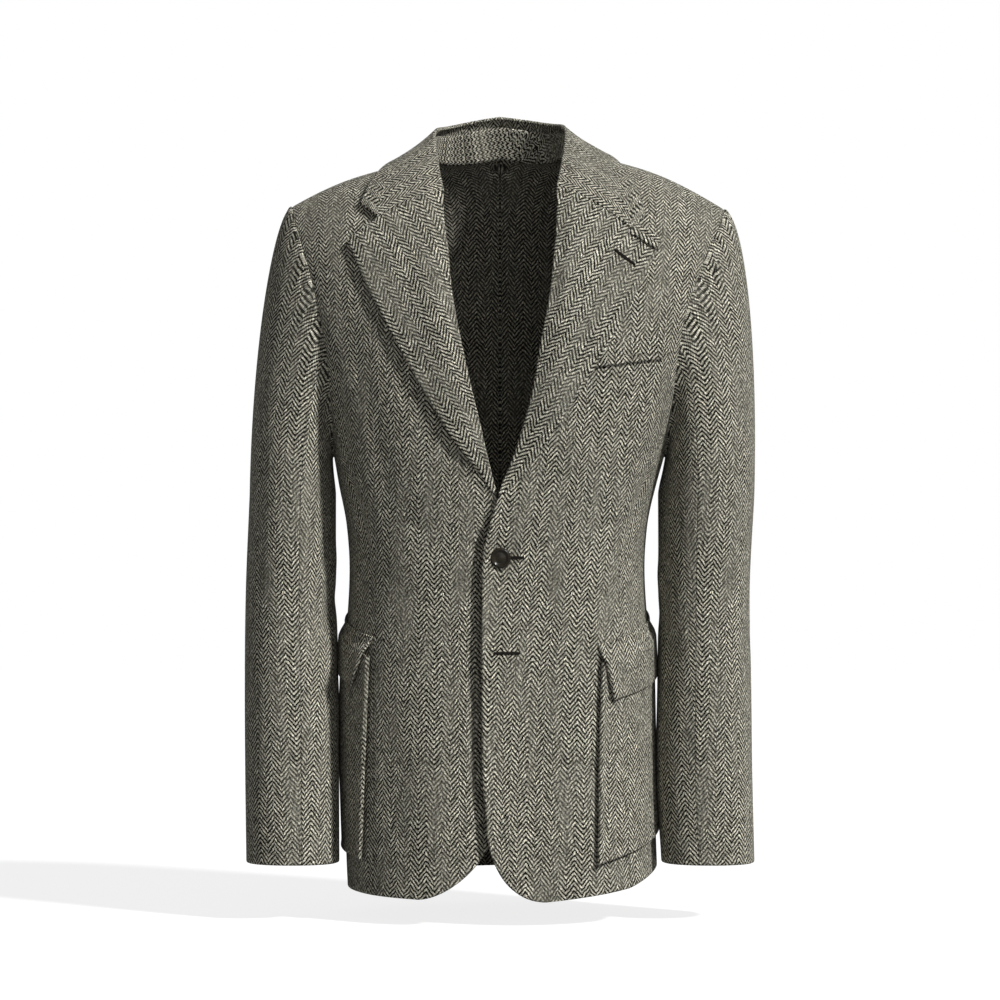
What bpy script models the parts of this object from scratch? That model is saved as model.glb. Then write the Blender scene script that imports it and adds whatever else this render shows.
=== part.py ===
"""A tweed hacking jacket, worn: hollow cloth panels on a general figure, in metres with +Z up.

The origin is the middle of the neck base.  The front faces -Y and the wearer's left is +X.  Every
panel is an area of one torso surface, read from a table of level sections, and given its cloth
with Solidify.  Sizes in the tables are millimetres.
"""

import math
from typing import NamedTuple

import bpy
import numpy as np

MM = 0.001

# Cloth and making
CLOTH = 2.0            # thickness of the tweed wall
SEAM_GAP = 0.3         # gap left between two pieces at a seam
PLY = CLOTH + 0.4      # how far a layer's outer face stands off the layer below it
RIGHT, LEFT = -1, 1    # the wearer's right is -X

# Torso
ROUNDNESS = 2.5        # exponent of the level sections
FRONT_FALL = 190.0     # height over which the chest rounds forward from the shoulder line
BACK_FALL = 130.0
RIDGE_AT_NECK = 12.0   # how far the shoulder seam lies behind the middle at the neck
RIDGE_END = 220.0

# Neck
NECK_HALF = 72.0
NECK_MIDDLE = RIDGE_AT_NECK * (1 - NECK_HALF / RIDGE_END)
NECK_BACK = 62.0
NECK_FRONT = 120.0
GORGE_TURN = 128.0     # angle from the centre back where the collar meets the roll line

# Collar and lapels
NOTCH_SHARE = 0.72     # where the notch lies along the collar's end, from the roll line
FOLD_STAND = PLY + 0.5 # how far the turned-over cloth stands off the torso at the fold
LAPEL_STAND = 5.4      # and away from the fold
STAND_INSET = 0.8      # how far inside the neck seam the collar's stand is
STAND_FOOT = 1.5       # how far above it the stand starts

# Fronts
BREAK = -347.0         # level where the lapels start to roll
LAP_LIFT = 2.9         # how far the over front stands off the under front
LAP_FLAT = 22.0
LAP_END = 52.0

# Sleeves
SLEEVE_RING = -345.0   # level where the sleeve head has become a plain tube
SLEEVE_ROUND = 2.2
SLEEVE_SEAM_TRIM = 1.8 # drawn back from a sleeve seam, so that the inner faces keep the gap
HEAD_SLOPE = 0.45      # how steeply the sleeve leaves the shoulder tip
HEAD_REACH = {RIGHT: 12.0, LEFT: 16.0}
HEAD_OUT = {RIGHT: -3.0, LEFT: 4.0}           # how far out of the first ring a head curve aims
HEAD_EASE = 2.0        # extra room at the sleeve head, where the wall turns down over the seam
HEAD_RISE = (12.0, 150.0)                     # how far up a head curve aims for, inside and outside
SLEEVE_SEAM_FRONT, SLEEVE_SEAM_BACK = 7, 18   # armhole points where the sleeve's two seams start

# Buttons
BUTTON_RADIUS = 10.0
BUTTON_THICK = 3.4
HIDDEN_BUTTON_THICK = 2.4
BUTTON_LEVELS = {"upper": -406.0, "lower": -498.0}
BUTTON_STANDS = {"upper": 1.4, "lower": 0.9}   # the length of thread between button and cloth
BUTTON_BULGE = 3.6
BUTTON_BULGE_SPREAD = 24.0

# Rows of the body panels: hem corner, front edge, underarm, armhole
ROW_CORNER, ROW_BREAK, ROW_UNDERARM, ROW_TOP = 4, 12, 14, 23
ROW_GORGE = 20
UNDERARM_ROWS = (0.0, 1.0, 2.0, 3.0, 4.0, 6.0, 8.0, 10.0, 12.0, 13.0, 14.0)
ARMHOLE_ROWS = (15.5, 17.0, 18.0, 19.0, 20.0, 21.5, 22.88, 23.0)
FRONT_COLUMNS, SIDE_COLUMNS, BACK_COLUMNS = 9, 4, 7
SEAM_STRIP = 0.02      # share of a panel taken by the narrow strip that squares its seam edge


class Section(NamedTuple):
    """A level section of the torso: half widths on each side, depth to the front and to the back."""

    level: float
    right: float
    left: float
    front: float
    back: float


SECTIONS = (
    Section(-745, 152, 158, 134, 140),
    Section(-700, 153, 156, 132, 139),
    Section(-600, 154, 151, 128, 133),
    Section(-500, 154, 149, 125, 119),
    Section(-400, 151, 145, 126, 108),
    Section(-370, 154, 148, 128, 108),
    Section(-335, 161, 156, 130, 111),
    Section(-300, 167, 166, 133, 118),
    Section(-240, 181, 185, 135, 126),
    Section(-160, 203, 210, 131, 129),
    Section(-70, 226, 242, 121, 120),
    Section(20, 232, 248, 113, 106),
)


class Shoulder(NamedTuple):
    """Height of each side's shoulder line over a distance from the middle."""

    reach: float
    right: float
    left: float


SHOULDER_LINE = (
    Shoulder(-40, 14, 14),
    Shoulder(0, 16, 16),
    Shoulder(72, -7, -3),
    Shoulder(109, -17, -10),
    Shoulder(161, -33.5, -26),
    Shoulder(213, -60, -53),
    Shoulder(226, -68, -61),
    Shoulder(250, -86, -78),
)


class SleeveRing(NamedTuple):
    """A level ring of a sleeve: middle and half width across, middle and half depth fore and aft."""

    level: float
    right_middle: float
    right_half: float
    left_middle: float
    left_half: float
    forward: float
    half_depth: float


SLEEVE_RINGS = (
    SleeveRing(-709, 206, 45.5, 207.5, 44.5, 34, 45),
    SleeveRing(-620, 207.5, 45.5, 204.5, 46, 28, 49),
    SleeveRing(-530, 208, 46, 204.5, 45.5, 18, 55),
    SleeveRing(-440, 208.5, 45, 203.5, 45.5, 8, 61),
    SleeveRing(-345, 207, 43, 206, 48, 2, 69),
)


class CollarSection(NamedTuple):
    """The collar at an angle from the centre back: stand height and lean, and the fall's edge."""

    turn: float
    rise: float
    lean: float
    edge_across: float
    edge_back: float


COLLAR_SECTIONS = (
    CollarSection(-30, 30, 7, -48, 82),
    CollarSection(0, 31, 7, 0, 91),
    CollarSection(30, 30, 7, 48, 82),
    CollarSection(60, 25, 7, 84, 50),
    CollarSection(90, 19, 6, 103, 6),
    CollarSection(110, 10, 3.5, 121, -28),
    CollarSection(128, 0, 0, 137, -60),
)


class EdgePoint(NamedTuple):
    """Distance from the middle line, towards the piece's own side, at a level."""

    level: float
    right: float
    left: float


FRONT_EDGE = (
    EdgePoint(-660, 2, -14),
    EdgePoint(-620, -10, -17.5),
    EdgePoint(-560, -17, -18),
    EdgePoint(-450, -18, -18),
    EdgePoint(-400, -16, -16.5),
    EdgePoint(-375, -10, -11),
    EdgePoint(-347, 3, -2),
)
ROLL_LINE = (
    EdgePoint(-347, 3, -2),
    EdgePoint(-303, 14.5, 16),
    EdgePoint(-243, 29, 33),
    EdgePoint(-197, 39, 41),
    EdgePoint(-146, 48, 50),
    EdgePoint(-109, 51.5, 54),
    EdgePoint(-76, 56, 56.5),
    EdgePoint(-46, 56.7, 56.7),
)
LAPEL_EDGE = (
    EdgePoint(-347, 6, 3),
    EdgePoint(-326, 19, 21),
    EdgePoint(-293, 44.5, 44),
    EdgePoint(-242, 75, 76),
    EdgePoint(-188, 105, 107),
    EdgePoint(-141, 129, 131),
    EdgePoint(-96, 149, 153),
)


class Tips(NamedTuple):
    """Front-view places, across and level, of the notch on one side, and how the hem corner rounds."""

    notch: tuple
    collar_tip: tuple
    lapel_tip: tuple
    corner_end: float
    corner_power: float
    hem_front: float
    hem_side: float
    shoulder_tip: float


TIPS = {
    RIGHT: Tips((119, -75), (137, -61), (149, -96), 80, 1.65, -739, -735, 207),
    LEFT: Tips((128, -89), (142, -72), (152, -107), 45, 2.1, -741, -715, 223),
}
HEM_BACK = -728.0


class ArmholePoint(NamedTuple):
    """Angle round the torso, from the centre front, of the armhole's front and back at a level."""

    level: float
    front: float
    back: float


ARMHOLE = (
    ArmholePoint(-304, 90, 90),
    ArmholePoint(-296, 82, 99),
    ArmholePoint(-268, 72, 109),
    ArmholePoint(-241, 66, 115),
    ArmholePoint(-215, 62, 119),
    ArmholePoint(-164, 58.5, 121.5),
    ArmholePoint(-107, 59.5, 120.5),
    ArmholePoint(-60, 62, 118),
)
UNDERARM = {"front": -268.0, "back": -215.0, "middle": -304.0}


class SeamPoint(NamedTuple):
    """Angle round the torso of the side panel's two seams at a level."""

    level: float
    front: float
    back: float


SIDE_SEAMS = (
    SeamPoint(-745, 51, 120),
    SeamPoint(-500, 50, 121),
    SeamPoint(-400, 51, 122),
    SeamPoint(-330, 57, 121),
    SeamPoint(-268, 72, 119.5),
    SeamPoint(-215, 78, 119),
)


class PocketSizes(NamedTuple):
    """A patch pocket and its flap in front view: across and level of their corners, and rear turn."""

    flap_top: tuple
    flap_bottom: tuple
    flap_rise: float
    pocket_top: tuple
    pocket_bottom: tuple
    pocket_rise: float
    rear_turn: float


POCKETS = {
    RIGHT: PocketSizes((124, -484), (139, -534), 28, (125, -503), (132, -703), 12, 112),
    LEFT: PocketSizes((95, -491), (107, -546), 34, (97, -509), (93, -706), 40, 104),
}
POCKET_STAND = 5.6     # how far the pocket's face stands off the front
FLAP_STAND = 8.4

WELT = {"inner": (86, -199), "outer": (158, -189), "height": 23.0}
TAB = {"start": (126, -81), "end": (155, -103), "half_width": 7.0}

SLOTS = {
    "tweed": ((0.13, 0.125, 0.10), 0.95),
    "horn": ((0.03, 0.02, 0.014), 0.3),
}


# ---------------------------------------------------------------- reading the tables

def column(table, name):
    return np.array([getattr(row, name) for row in table], float)


def read(table, name, at):
    """A smooth curve through a table's column, over its first column: cubic, with mean slopes."""
    knots = column(table, table[0]._fields[0])
    values = column(table, name)
    slopes = np.gradient(values, knots)
    at = np.clip(np.asarray(at, float), knots[0], knots[-1])
    i = np.clip(np.searchsorted(knots, at) - 1, 0, len(knots) - 2)
    step = knots[i + 1] - knots[i]
    t = (at - knots[i]) / step
    return (
        values[i] * (1 + 2 * t) * (1 - t) ** 2
        + values[i + 1] * t * t * (3 - 2 * t)
        + step * t * (1 - t) * ((1 - t) * slopes[i] - t * slopes[i + 1])
    )


def side_name(side):
    return "right" if side == RIGHT else "left"


def ease(t):
    """0 to 1 with level ends."""
    t = np.clip(t, 0, 1)
    return t * t * (3 - 2 * t)


# ---------------------------------------------------------------- the torso surface

def shoulder_level(side, across):
    return read(SHOULDER_LINE, side_name(side), np.abs(across))


def ridge(across):
    return RIDGE_AT_NECK * (1 - np.clip(np.abs(across) / RIDGE_END, 0, 1))


def turn_at(side, across, level):
    """The angle from the centre front at a distance from the middle line (front half)."""
    share = np.clip(across / read(SECTIONS, side_name(side), level), -1, 1)
    return np.degrees(np.arcsin(np.sign(share) * np.abs(share) ** (ROUNDNESS / 2)))


def torso(side, turn, level):
    """Points, in millimetres, at angles from the centre front (180 is the centre back) and levels."""
    turn, level = np.broadcast_arrays(np.asarray(turn, float), np.asarray(level, float))
    sine, cosine = np.sin(np.radians(turn)), np.cos(np.radians(turn))
    across = read(SECTIONS, side_name(side), level) * np.sign(sine) * np.abs(sine) ** (2 / ROUNDNESS)
    in_front = cosine > 0
    depth = np.where(in_front, read(SECTIONS, "front", level), read(SECTIONS, "back", level))
    fall = np.where(in_front, FRONT_FALL, BACK_FALL)
    below = np.clip((shoulder_level(side, across) - level) / fall, 0, 1)
    swell = np.abs(cosine) ** (2 / ROUNDNESS) * np.sqrt(1 - (1 - below) ** 2)
    back = ridge(across) - np.sign(cosine) * depth * swell
    return np.stack([side * across, back, level], -1)


def torso_out(side, turn, level, out):
    """The same points, moved out along the surface's normal."""
    turn, level, out = np.broadcast_arrays(turn, level, out)
    here = torso(side, turn, level)
    round_it = torso(side, turn + 0.4, level) - torso(side, turn - 0.4, level)
    up_it = torso(side, turn, level + 0.8) - torso(side, turn, level - 0.8)
    normal = np.cross(round_it, up_it) * side
    normal /= np.linalg.norm(normal, axis=-1, keepdims=True)
    return here + normal * out[..., None]


def level_over(side, across, back):
    """The level of the upper torso over a place in plan: the torso's formula turned round."""
    level = shoulder_level(side, across) - 10.0
    for _ in range(6):
        half = read(SECTIONS, side_name(side), level)
        share = (1 - np.clip(np.abs(across) / half, 0, 1) ** ROUNDNESS) ** (1 / ROUNDNESS)
        in_front = back < ridge(across)
        depth = np.where(in_front, read(SECTIONS, "front", level), read(SECTIONS, "back", level))
        fall = np.where(in_front, FRONT_FALL, BACK_FALL)
        swell = np.clip(np.abs(back - ridge(across)) / (depth * share), 0, 0.999)
        level = shoulder_level(side, across) - fall * (1 - np.sqrt(1 - swell**2))
    return level


def turn_over(side, across, back, level):
    """The angle round the torso of a place in plan."""
    turn = turn_at(side, across, level)
    return np.where(back < ridge(across), turn, 180 - turn)


# ---------------------------------------------------------------- edges of the panels

def hem_level(side, turn):
    """The hem: level at the front, higher at the side, and between the two at the back."""
    tips = TIPS[side]
    to_side = ease((turn - 20) / 70)
    to_back = ease((turn - 90) / 80)
    side_rise, back_rise = tips.hem_side - tips.hem_front, HEM_BACK - tips.hem_side
    return tips.hem_front + side_rise * to_side + back_rise * to_back


def neck_plan(turn):
    """The neck seam in plan, at angles from the centre back."""
    t = np.radians(turn)
    back = NECK_MIDDLE + np.where(turn < 90, NECK_BACK, NECK_FRONT) * np.cos(t)
    return NECK_HALF * np.sin(t), back


def neck_place(side, turn, half):
    """The neck seam of a front or a back half, as angle round the torso and level."""
    across, back = neck_plan(turn)
    level = level_over(side, across, back)
    round_front = turn_at(side, across, level)
    return (round_front if half == "front" else 180 - round_front), level


def outer_place(side, row, half):
    """The outer edge of a front or back panel: the side seam, then the armhole up to the shoulder."""
    seam_top = UNDERARM[half]
    hem = hem_level(side, 51.0 if half == "front" else 120.0)
    level = np.interp(row, (0, ROW_CORNER, ROW_BREAK, ROW_UNDERARM), (hem, -655, -340, seam_top))
    seam = read(SIDE_SEAMS, half, level)
    seam_end = read(SIDE_SEAMS, half, seam_top)
    arm_start = read(ARMHOLE, half, seam_top)
    rise = np.sin(np.radians(90 * np.clip((row - ROW_UNDERARM) / (ROW_TOP - ROW_UNDERARM), 0, 1)))
    tip_across = TIPS[side].shoulder_tip
    tip_level = shoulder_level(side, tip_across)
    tip_turn = turn_at(side, tip_across, tip_level)
    tip_turn = tip_turn if half == "front" else 180 - tip_turn
    arm_level = seam_top + rise * (tip_level - seam_top)
    arm = read(ARMHOLE, half, arm_level)
    near_tip = ease((rise - 0.8) / 0.2)
    arm = arm + (tip_turn - arm) * near_tip + (seam_end - arm_start) * (1 - rise)
    above = row > ROW_UNDERARM
    return np.where(above, arm, seam), np.where(above, arm_level, level)


def front_inner_place(side, row):
    """The inner edge of a front: round hem corner, front edge, roll line, then the neck seam."""
    tips = TIPS[side]
    name = side_name(side)
    corner_top = -660.0
    start = read(FRONT_EDGE, name, corner_top)
    angle = np.radians(90 * np.clip(1 - row / ROW_CORNER, 0, 1))
    corner_across = tips.corner_end - (tips.corner_end - start) * np.cos(angle) ** (2 / tips.corner_power)
    corner_level = corner_top + (tips.hem_front - corner_top) * np.sin(angle) ** (2 / tips.corner_power)
    edge_level = np.interp(row, (ROW_CORNER, ROW_BREAK), (corner_top, BREAK))
    roll_level = np.interp(row, (ROW_BREAK, ROW_GORGE), (BREAK, ROLL_LINE[-1].level))
    across = np.select(
        [row < ROW_CORNER, row < ROW_BREAK],
        [corner_across, read(FRONT_EDGE, name, edge_level)],
        read(ROLL_LINE, name, roll_level),
    )
    level = np.select([row < ROW_CORNER, row < ROW_BREAK], [corner_level, edge_level], roll_level)
    turn = turn_at(side, across, level)
    neck_turn = np.interp(row, (ROW_GORGE, ROW_TOP), (GORGE_TURN, 90))
    at_neck, neck_level = neck_place(side, neck_turn, "front")
    blend = row >= ROW_GORGE
    return np.where(blend, at_neck, turn), np.where(blend, neck_level, level)


def back_inner_place(side, row):
    """The inner edge of a back: the centre seam, then the neck seam."""
    hem = hem_level(side, 170.0)
    neck_turn = np.interp(row, (ROW_GORGE - 1, ROW_TOP), (0, 90))
    at_neck, neck_level = neck_place(side, neck_turn, "back")
    centre_top = neck_place(side, np.array(0.0), "back")[1]
    level = np.interp(row, (0, ROW_CORNER, ROW_BREAK, ROW_GORGE - 1), (hem, -655, -340, centre_top))
    above = row > ROW_GORGE - 1
    return np.where(above, at_neck, 180.0), np.where(above, neck_level, level)


def panel_grid(side, row, across, inner, outer):
    """Rows from an inner to an outer edge; the last row lies on the shoulder line."""
    turn = inner[0][:, None] + (outer[0] - inner[0])[:, None] * across
    level = inner[1][:, None] + (outer[1] - inner[1])[:, None] * across
    shoulder = level[-1]
    for _ in range(12):
        shoulder = shoulder_level(side, torso(side, turn[-1], shoulder)[:, 0])
    bow = shoulder - level[-1]
    share = ease((row - ROW_UNDERARM) / (ROW_TOP - ROW_UNDERARM)) ** 2
    return turn, level + share[:, None] * bow


def front_lift(side, points):
    """How far the over front stands off the torso: along its lap, more over the hidden button."""
    if side == RIGHT:
        return np.zeros(points.shape[:-1])
    lap = 1 - ease((points[..., 0] - LAP_FLAT) / (LAP_END - LAP_FLAT))
    below_break = ease((BREAK + 60 - points[..., 2]) / 60)
    off = points[..., 0] ** 2 + (points[..., 2] - BUTTON_LEVELS["lower"]) ** 2
    return lap * below_break * (LAP_LIFT + BUTTON_BULGE * np.exp(-off / (2 * BUTTON_BULGE_SPREAD**2)))


def body_rows():
    """The rows of a front or back, with a narrow last one along the shoulder seam."""
    return np.concatenate([UNDERARM_ROWS, ARMHOLE_ROWS])


def shares(columns, inner=True, outer=True):
    """Even shares across a panel, with a narrow strip at each edge that is a seam."""
    share = np.linspace(0, 1, columns + 1)
    return np.sort(np.concatenate([share, [SEAM_STRIP] * inner, [1 - SEAM_STRIP] * outer]))


def front_grid(side):
    row = body_rows()
    share = shares(FRONT_COLUMNS, inner=False)
    inner, outer = front_inner_place(side, row), outer_place(side, row, "front")
    turn, level = panel_grid(side, row, share, inner, outer)
    return torso_out(side, turn, level, front_lift(side, torso(side, turn, level)))


def back_grid(side):
    row = body_rows()
    share = shares(BACK_COLUMNS)
    inner, outer = back_inner_place(side, row), outer_place(side, row, "back")
    turn, level = panel_grid(side, row, share, inner, outer)
    return torso(side, turn, level)


def side_grid(side):
    """The side panel, from the hem up to the underarm dip of the armhole."""
    row = np.array(UNDERARM_ROWS)
    share = shares(SIDE_COLUMNS)
    front = outer_place(side, row, "front")
    back = outer_place(side, row, "back")
    turn = front[0][:, None] + (back[0] - front[0])[:, None] * share
    level = front[1][:, None] + (back[1] - front[1])[:, None] * share
    hem_bow = hem_level(side, turn[0]) - level[0]
    depth = UNDERARM["middle"] - 0.5 * (UNDERARM["front"] + UNDERARM["back"])
    dip = depth * np.sin(math.pi * share) ** 0.8
    up = row / ROW_UNDERARM
    level = level + (1 - up[:, None]) ** 3 * hem_bow + up[:, None] ** 3 * dip
    return torso(side, turn, level)


# ---------------------------------------------------------------- making objects

def material(slot):
    made = bpy.data.materials.get(slot)
    if made is None:
        colour, rough = SLOTS[slot]
        made = bpy.data.materials.new(slot)
        made.use_nodes = True
        shader = made.node_tree.nodes["Principled BSDF"]
        shader.inputs["Base Color"].default_value = (*colour, 1)
        shader.inputs["Roughness"].default_value = rough
    return made


def squared_shoulder(grid):
    """A grid whose top edge is drawn back so that its wall's lower face clears the shoulder seam."""
    grid = grid.copy()
    way = grid[-2] - grid[-1]
    flat = np.linalg.norm(way[:, :2], axis=-1)
    slope = np.clip(-way[:, 2] / flat, 0, 1)
    way /= np.linalg.norm(way, axis=-1, keepdims=True)
    grid[-1] += (2.5 * SEAM_GAP + CLOTH * slope)[:, None] * way
    return grid


def trimmed(grid, edges, gap=SEAM_GAP / 2):
    """A grid whose named edges are drawn back from a seam by half its gap."""
    grid = grid.copy()
    cuts = {"bottom": (0, 1), "top": (-1, -2)}
    for edge in edges:
        if edge in cuts:
            at, inner = cuts[edge]
            way = grid[inner] - grid[at]
            grid[at] += gap * way / np.linalg.norm(way, axis=-1, keepdims=True)
        else:
            at, inner = {"inner": (0, 1), "outer": (-1, -2)}[edge]
            way = grid[:, inner] - grid[:, at]
            grid[:, at] += gap * way / np.linalg.norm(way, axis=-1, keepdims=True)
    return grid


def cloth(name, grid, side=RIGHT, thickness=CLOTH):
    """A wall of cloth: an open grid of points, outer face where the points lie, and Solidify."""
    rows, columns = grid.shape[:2]
    index = np.arange(rows * columns).reshape(rows, columns)
    quads = np.stack([index[:-1, :-1], index[:-1, 1:], index[1:, 1:], index[1:, :-1]], -1).reshape(-1, 4)
    if side == RIGHT:
        quads = quads[:, ::-1]
    mesh = bpy.data.meshes.new(name)
    mesh.from_pydata((grid.reshape(-1, 3) * MM).tolist(), [], quads.tolist())
    mesh.materials.append(material("tweed"))
    mesh.shade_smooth()
    made = bpy.data.objects.new(name, mesh)
    collection.objects.link(made)
    made.parent = root
    wall = made.modifiers.new("cloth", "SOLIDIFY")
    wall.thickness = thickness * MM
    wall.offset = -1
    return made


def button(name, thickness, place, facing):
    """A turned button: a domed disc with a raised rim, its axis along the way it faces."""
    rim = BUTTON_RADIUS
    profile = [
        (0, thickness * 0.62), (rim * 0.55, thickness * 0.66), (rim * 0.75, thickness),
        (rim * 0.95, thickness * 0.8), (rim, thickness * 0.4),
        (rim * 0.9, 0), (0, 0),
    ]
    mesh = bpy.data.meshes.new(name)
    points = [(across * MM, 0, up * MM) for across, up in profile]
    mesh.from_pydata(points, [(i, i + 1) for i in range(len(points) - 1)], [])
    mesh.materials.append(material("horn"))
    made = bpy.data.objects.new(name, mesh)
    collection.objects.link(made)
    made.parent = root
    turned = made.modifiers.new("turned", "SCREW")
    turned.steps = turned.render_steps = 20
    turned.use_merge_vertices = True
    turned.merge_threshold = 0.00002
    turned.use_smooth_shade = True
    made.location = place * MM
    made.rotation_euler = facing
    return made


# ---------------------------------------------------------------- body

def make_body():
    for side in (RIGHT, LEFT):
        name = side_name(side)
        cloth(f"front_{name}", squared_shoulder(trimmed(front_grid(side), ("outer",))), side)
        cloth(f"back_{name}", squared_shoulder(trimmed(back_grid(side), ("outer", "inner"), 0.3)), -side)
        cloth(f"side_{name}", trimmed(side_grid(side), ("top", "inner", "outer")), side)


# ---------------------------------------------------------------- sleeves

def armhole_loop(side):
    """Points round the armhole, from the shoulder tip down the front and up the back."""
    front, under, back = front_grid(side), side_grid(side), back_grid(side)
    first = len(UNDERARM_ROWS) - 1
    down_front = front[first:, -1][::-1]
    along = under[-1][1:-1]
    up_back = back[first:, -1][:-1]
    return np.concatenate([down_front, along, up_back])


def ring_turns(loop):
    """Where each armhole point goes round the sleeve: 0 outside, 90 front, 180 inside, 270 back."""
    lengths = np.linalg.norm(np.roll(loop, -1, axis=0) - loop, axis=1)
    so_far = np.concatenate([[0], np.cumsum(lengths)[:-1]])
    bottom = int(np.argmin(loop[:, 2]))
    total = lengths.sum()
    return np.where(
        np.arange(len(loop)) <= bottom,
        180 * so_far / so_far[bottom],
        180 + 180 * (so_far - so_far[bottom]) / (total - so_far[bottom]),
    )


def rounded(wave):
    """A sine or cosine as a sleeve's rounded oval uses it."""
    return np.sign(wave) * np.abs(wave) ** (2 / SLEEVE_ROUND)


def sleeve_ring(side, turns, level):
    """Points of a level ring: a rounded oval."""
    name = side_name(side)
    t = np.radians(turns)
    middle = read(SLEEVE_RINGS, f"{name}_middle", level)
    half = read(SLEEVE_RINGS, f"{name}_half", level)
    forward = read(SLEEVE_RINGS, "forward", level)
    half_depth = read(SLEEVE_RINGS, "half_depth", level)
    across = middle + half * rounded(np.cos(t))
    back = -forward - half_depth * rounded(np.sin(t))
    return np.stack([side * across, back, np.full(np.shape(turns), float(level))], -1)


def sleeve_grid(side, head_rows=6, tube_rows=6):
    """The sleeve head as cubic curves from the armhole to the first ring, then rings to the cuff."""
    loop = armhole_loop(side)
    turns = ring_turns(loop)
    outside = 0.5 + 0.5 * np.cos(np.radians(turns))
    follow = outside[:, None] ** 2
    leave = side * np.array([1.0, 0, 0]) - HEAD_SLOPE * follow * np.array([0, 0, 1.0])
    leave /= np.linalg.norm(leave, axis=1, keepdims=True)
    start = loop + leave * (0.5 * SEAM_GAP + HEAD_EASE * follow)
    ring = sleeve_ring(side, turns, SLEEVE_RING)
    up = np.zeros_like(ring)
    up[:, 2] = HEAD_RISE[0] + HEAD_RISE[1] * outside**1.2
    up[:, 0] = side * HEAD_OUT[side] * outside
    first = start + leave * (5 + HEAD_REACH[side] * outside)[:, None]
    last = ring + up
    t = np.concatenate([[0, 0.03], np.linspace(0, 1, head_rows + 1)[1:]])[:, None, None]
    head = (1 - t) ** 3 * start + 3 * t * (1 - t) ** 2 * first + 3 * t * t * (1 - t) * last + t**3 * ring
    levels = np.linspace(SLEEVE_RING, SLEEVE_RINGS[0].level, tube_rows + 1)[1:]
    tube = np.stack([sleeve_ring(side, turns, level) for level in levels])
    return np.concatenate([head, tube])[::-1], turns


def make_sleeves():
    for side in (RIGHT, LEFT):
        name = side_name(side)
        grid, turns = sleeve_grid(side)
        count = grid.shape[1]
        top = np.arange(SLEEVE_SEAM_BACK, SLEEVE_SEAM_FRONT + count + 1) % count
        under = np.arange(SLEEVE_SEAM_FRONT, SLEEVE_SEAM_BACK + 1)
        cloth(f"sleeve_top_{name}", trimmed(grid[:, top], ("inner", "outer"), SLEEVE_SEAM_TRIM), -side)
        cloth(f"sleeve_under_{name}", trimmed(grid[:, under], ("inner", "outer"), SLEEVE_SEAM_TRIM), -side)


# ---------------------------------------------------------------- collar and lapels

def plan_of(side, place):
    """Plan place of a front-view place on the torso."""
    across, level = place
    point = torso(side, turn_at(side, across, level), level)
    return np.array([abs(point[0]), point[1]])


def fall_plan(side, turn, share):
    """The collar's fall in plan: from the fold out to its edge, its end bent to the notch."""
    across, back = neck_plan(turn)
    lean = read(COLLAR_SECTIONS, "lean", turn) / NECK_HALF
    fold = np.stack([across * (1 - lean), NECK_MIDDLE + (back - NECK_MIDDLE) * (1 - lean)], -1)
    edge = np.stack([read(COLLAR_SECTIONS, name, turn) for name in ("edge_across", "edge_back")], -1)
    ended = ease((turn - 60) / (GORGE_TURN - 60)) ** 2
    tip = plan_of(side, TIPS[side].collar_tip)
    table_tip = np.array([COLLAR_SECTIONS[-1].edge_across, COLLAR_SECTIONS[-1].edge_back])
    edge = edge + ended[:, None] * (tip - table_tip)
    plan = fold[:, None] + (edge - fold)[:, None] * share[None, :, None]
    gorge = fold[-1] if turn[-1] == GORGE_TURN else plan_gorge()
    notch_off = plan_of(side, TIPS[side].notch) - (gorge + NOTCH_SHARE * (tip - gorge))
    tent = np.minimum(share / NOTCH_SHARE, (1 - share) / (1 - NOTCH_SHARE))
    return plan + ended[:, None, None] ** 1.5 * tent[None, :, None] * notch_off


def plan_gorge():
    across, back = neck_plan(np.array([GORGE_TURN]))
    return np.array([across[0], back[0]])


def stand_off(from_fold):
    """Outer face of a turned-over layer: one ply up at the fold, then standing a little off."""
    return FOLD_STAND + (LAPEL_STAND - FOLD_STAND) * ease(from_fold / 14.0)


def fall_half(side, turn, share):
    """Half of the fall: over the torso, raised by the stand towards the fold, laid flat at its end."""
    plan = fall_plan(side, turn, share)
    level = level_over(side, plan[..., 0], plan[..., 1])
    at = turn_over(side, plan[..., 0], plan[..., 1], level)
    from_fold = np.linalg.norm(plan - plan[:, :1], axis=-1)
    ended = ease((turn - 90) / (GORGE_TURN - 90))[:, None]
    out = LAPEL_STAND + (stand_off(from_fold) - LAPEL_STAND) * ended
    below_ridge = np.minimum(level, shoulder_level(side, plan[..., 0]) - 1.0)
    over = torso(side, at, level) + np.array([0, 0, LAPEL_STAND])
    laid = torso_out(side, at, below_ridge, out)
    points = over + (laid - over) * ease((turn - 80) / 25)[:, None, None]
    points[..., 2] += read(COLLAR_SECTIONS, "rise", turn)[:, None] * (1 - share[None]) ** 1.25
    return points


def collar_turns(steps):
    return GORGE_TURN * (1 - (1 - np.linspace(0, 1, steps + 1)) ** 1.15)


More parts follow.
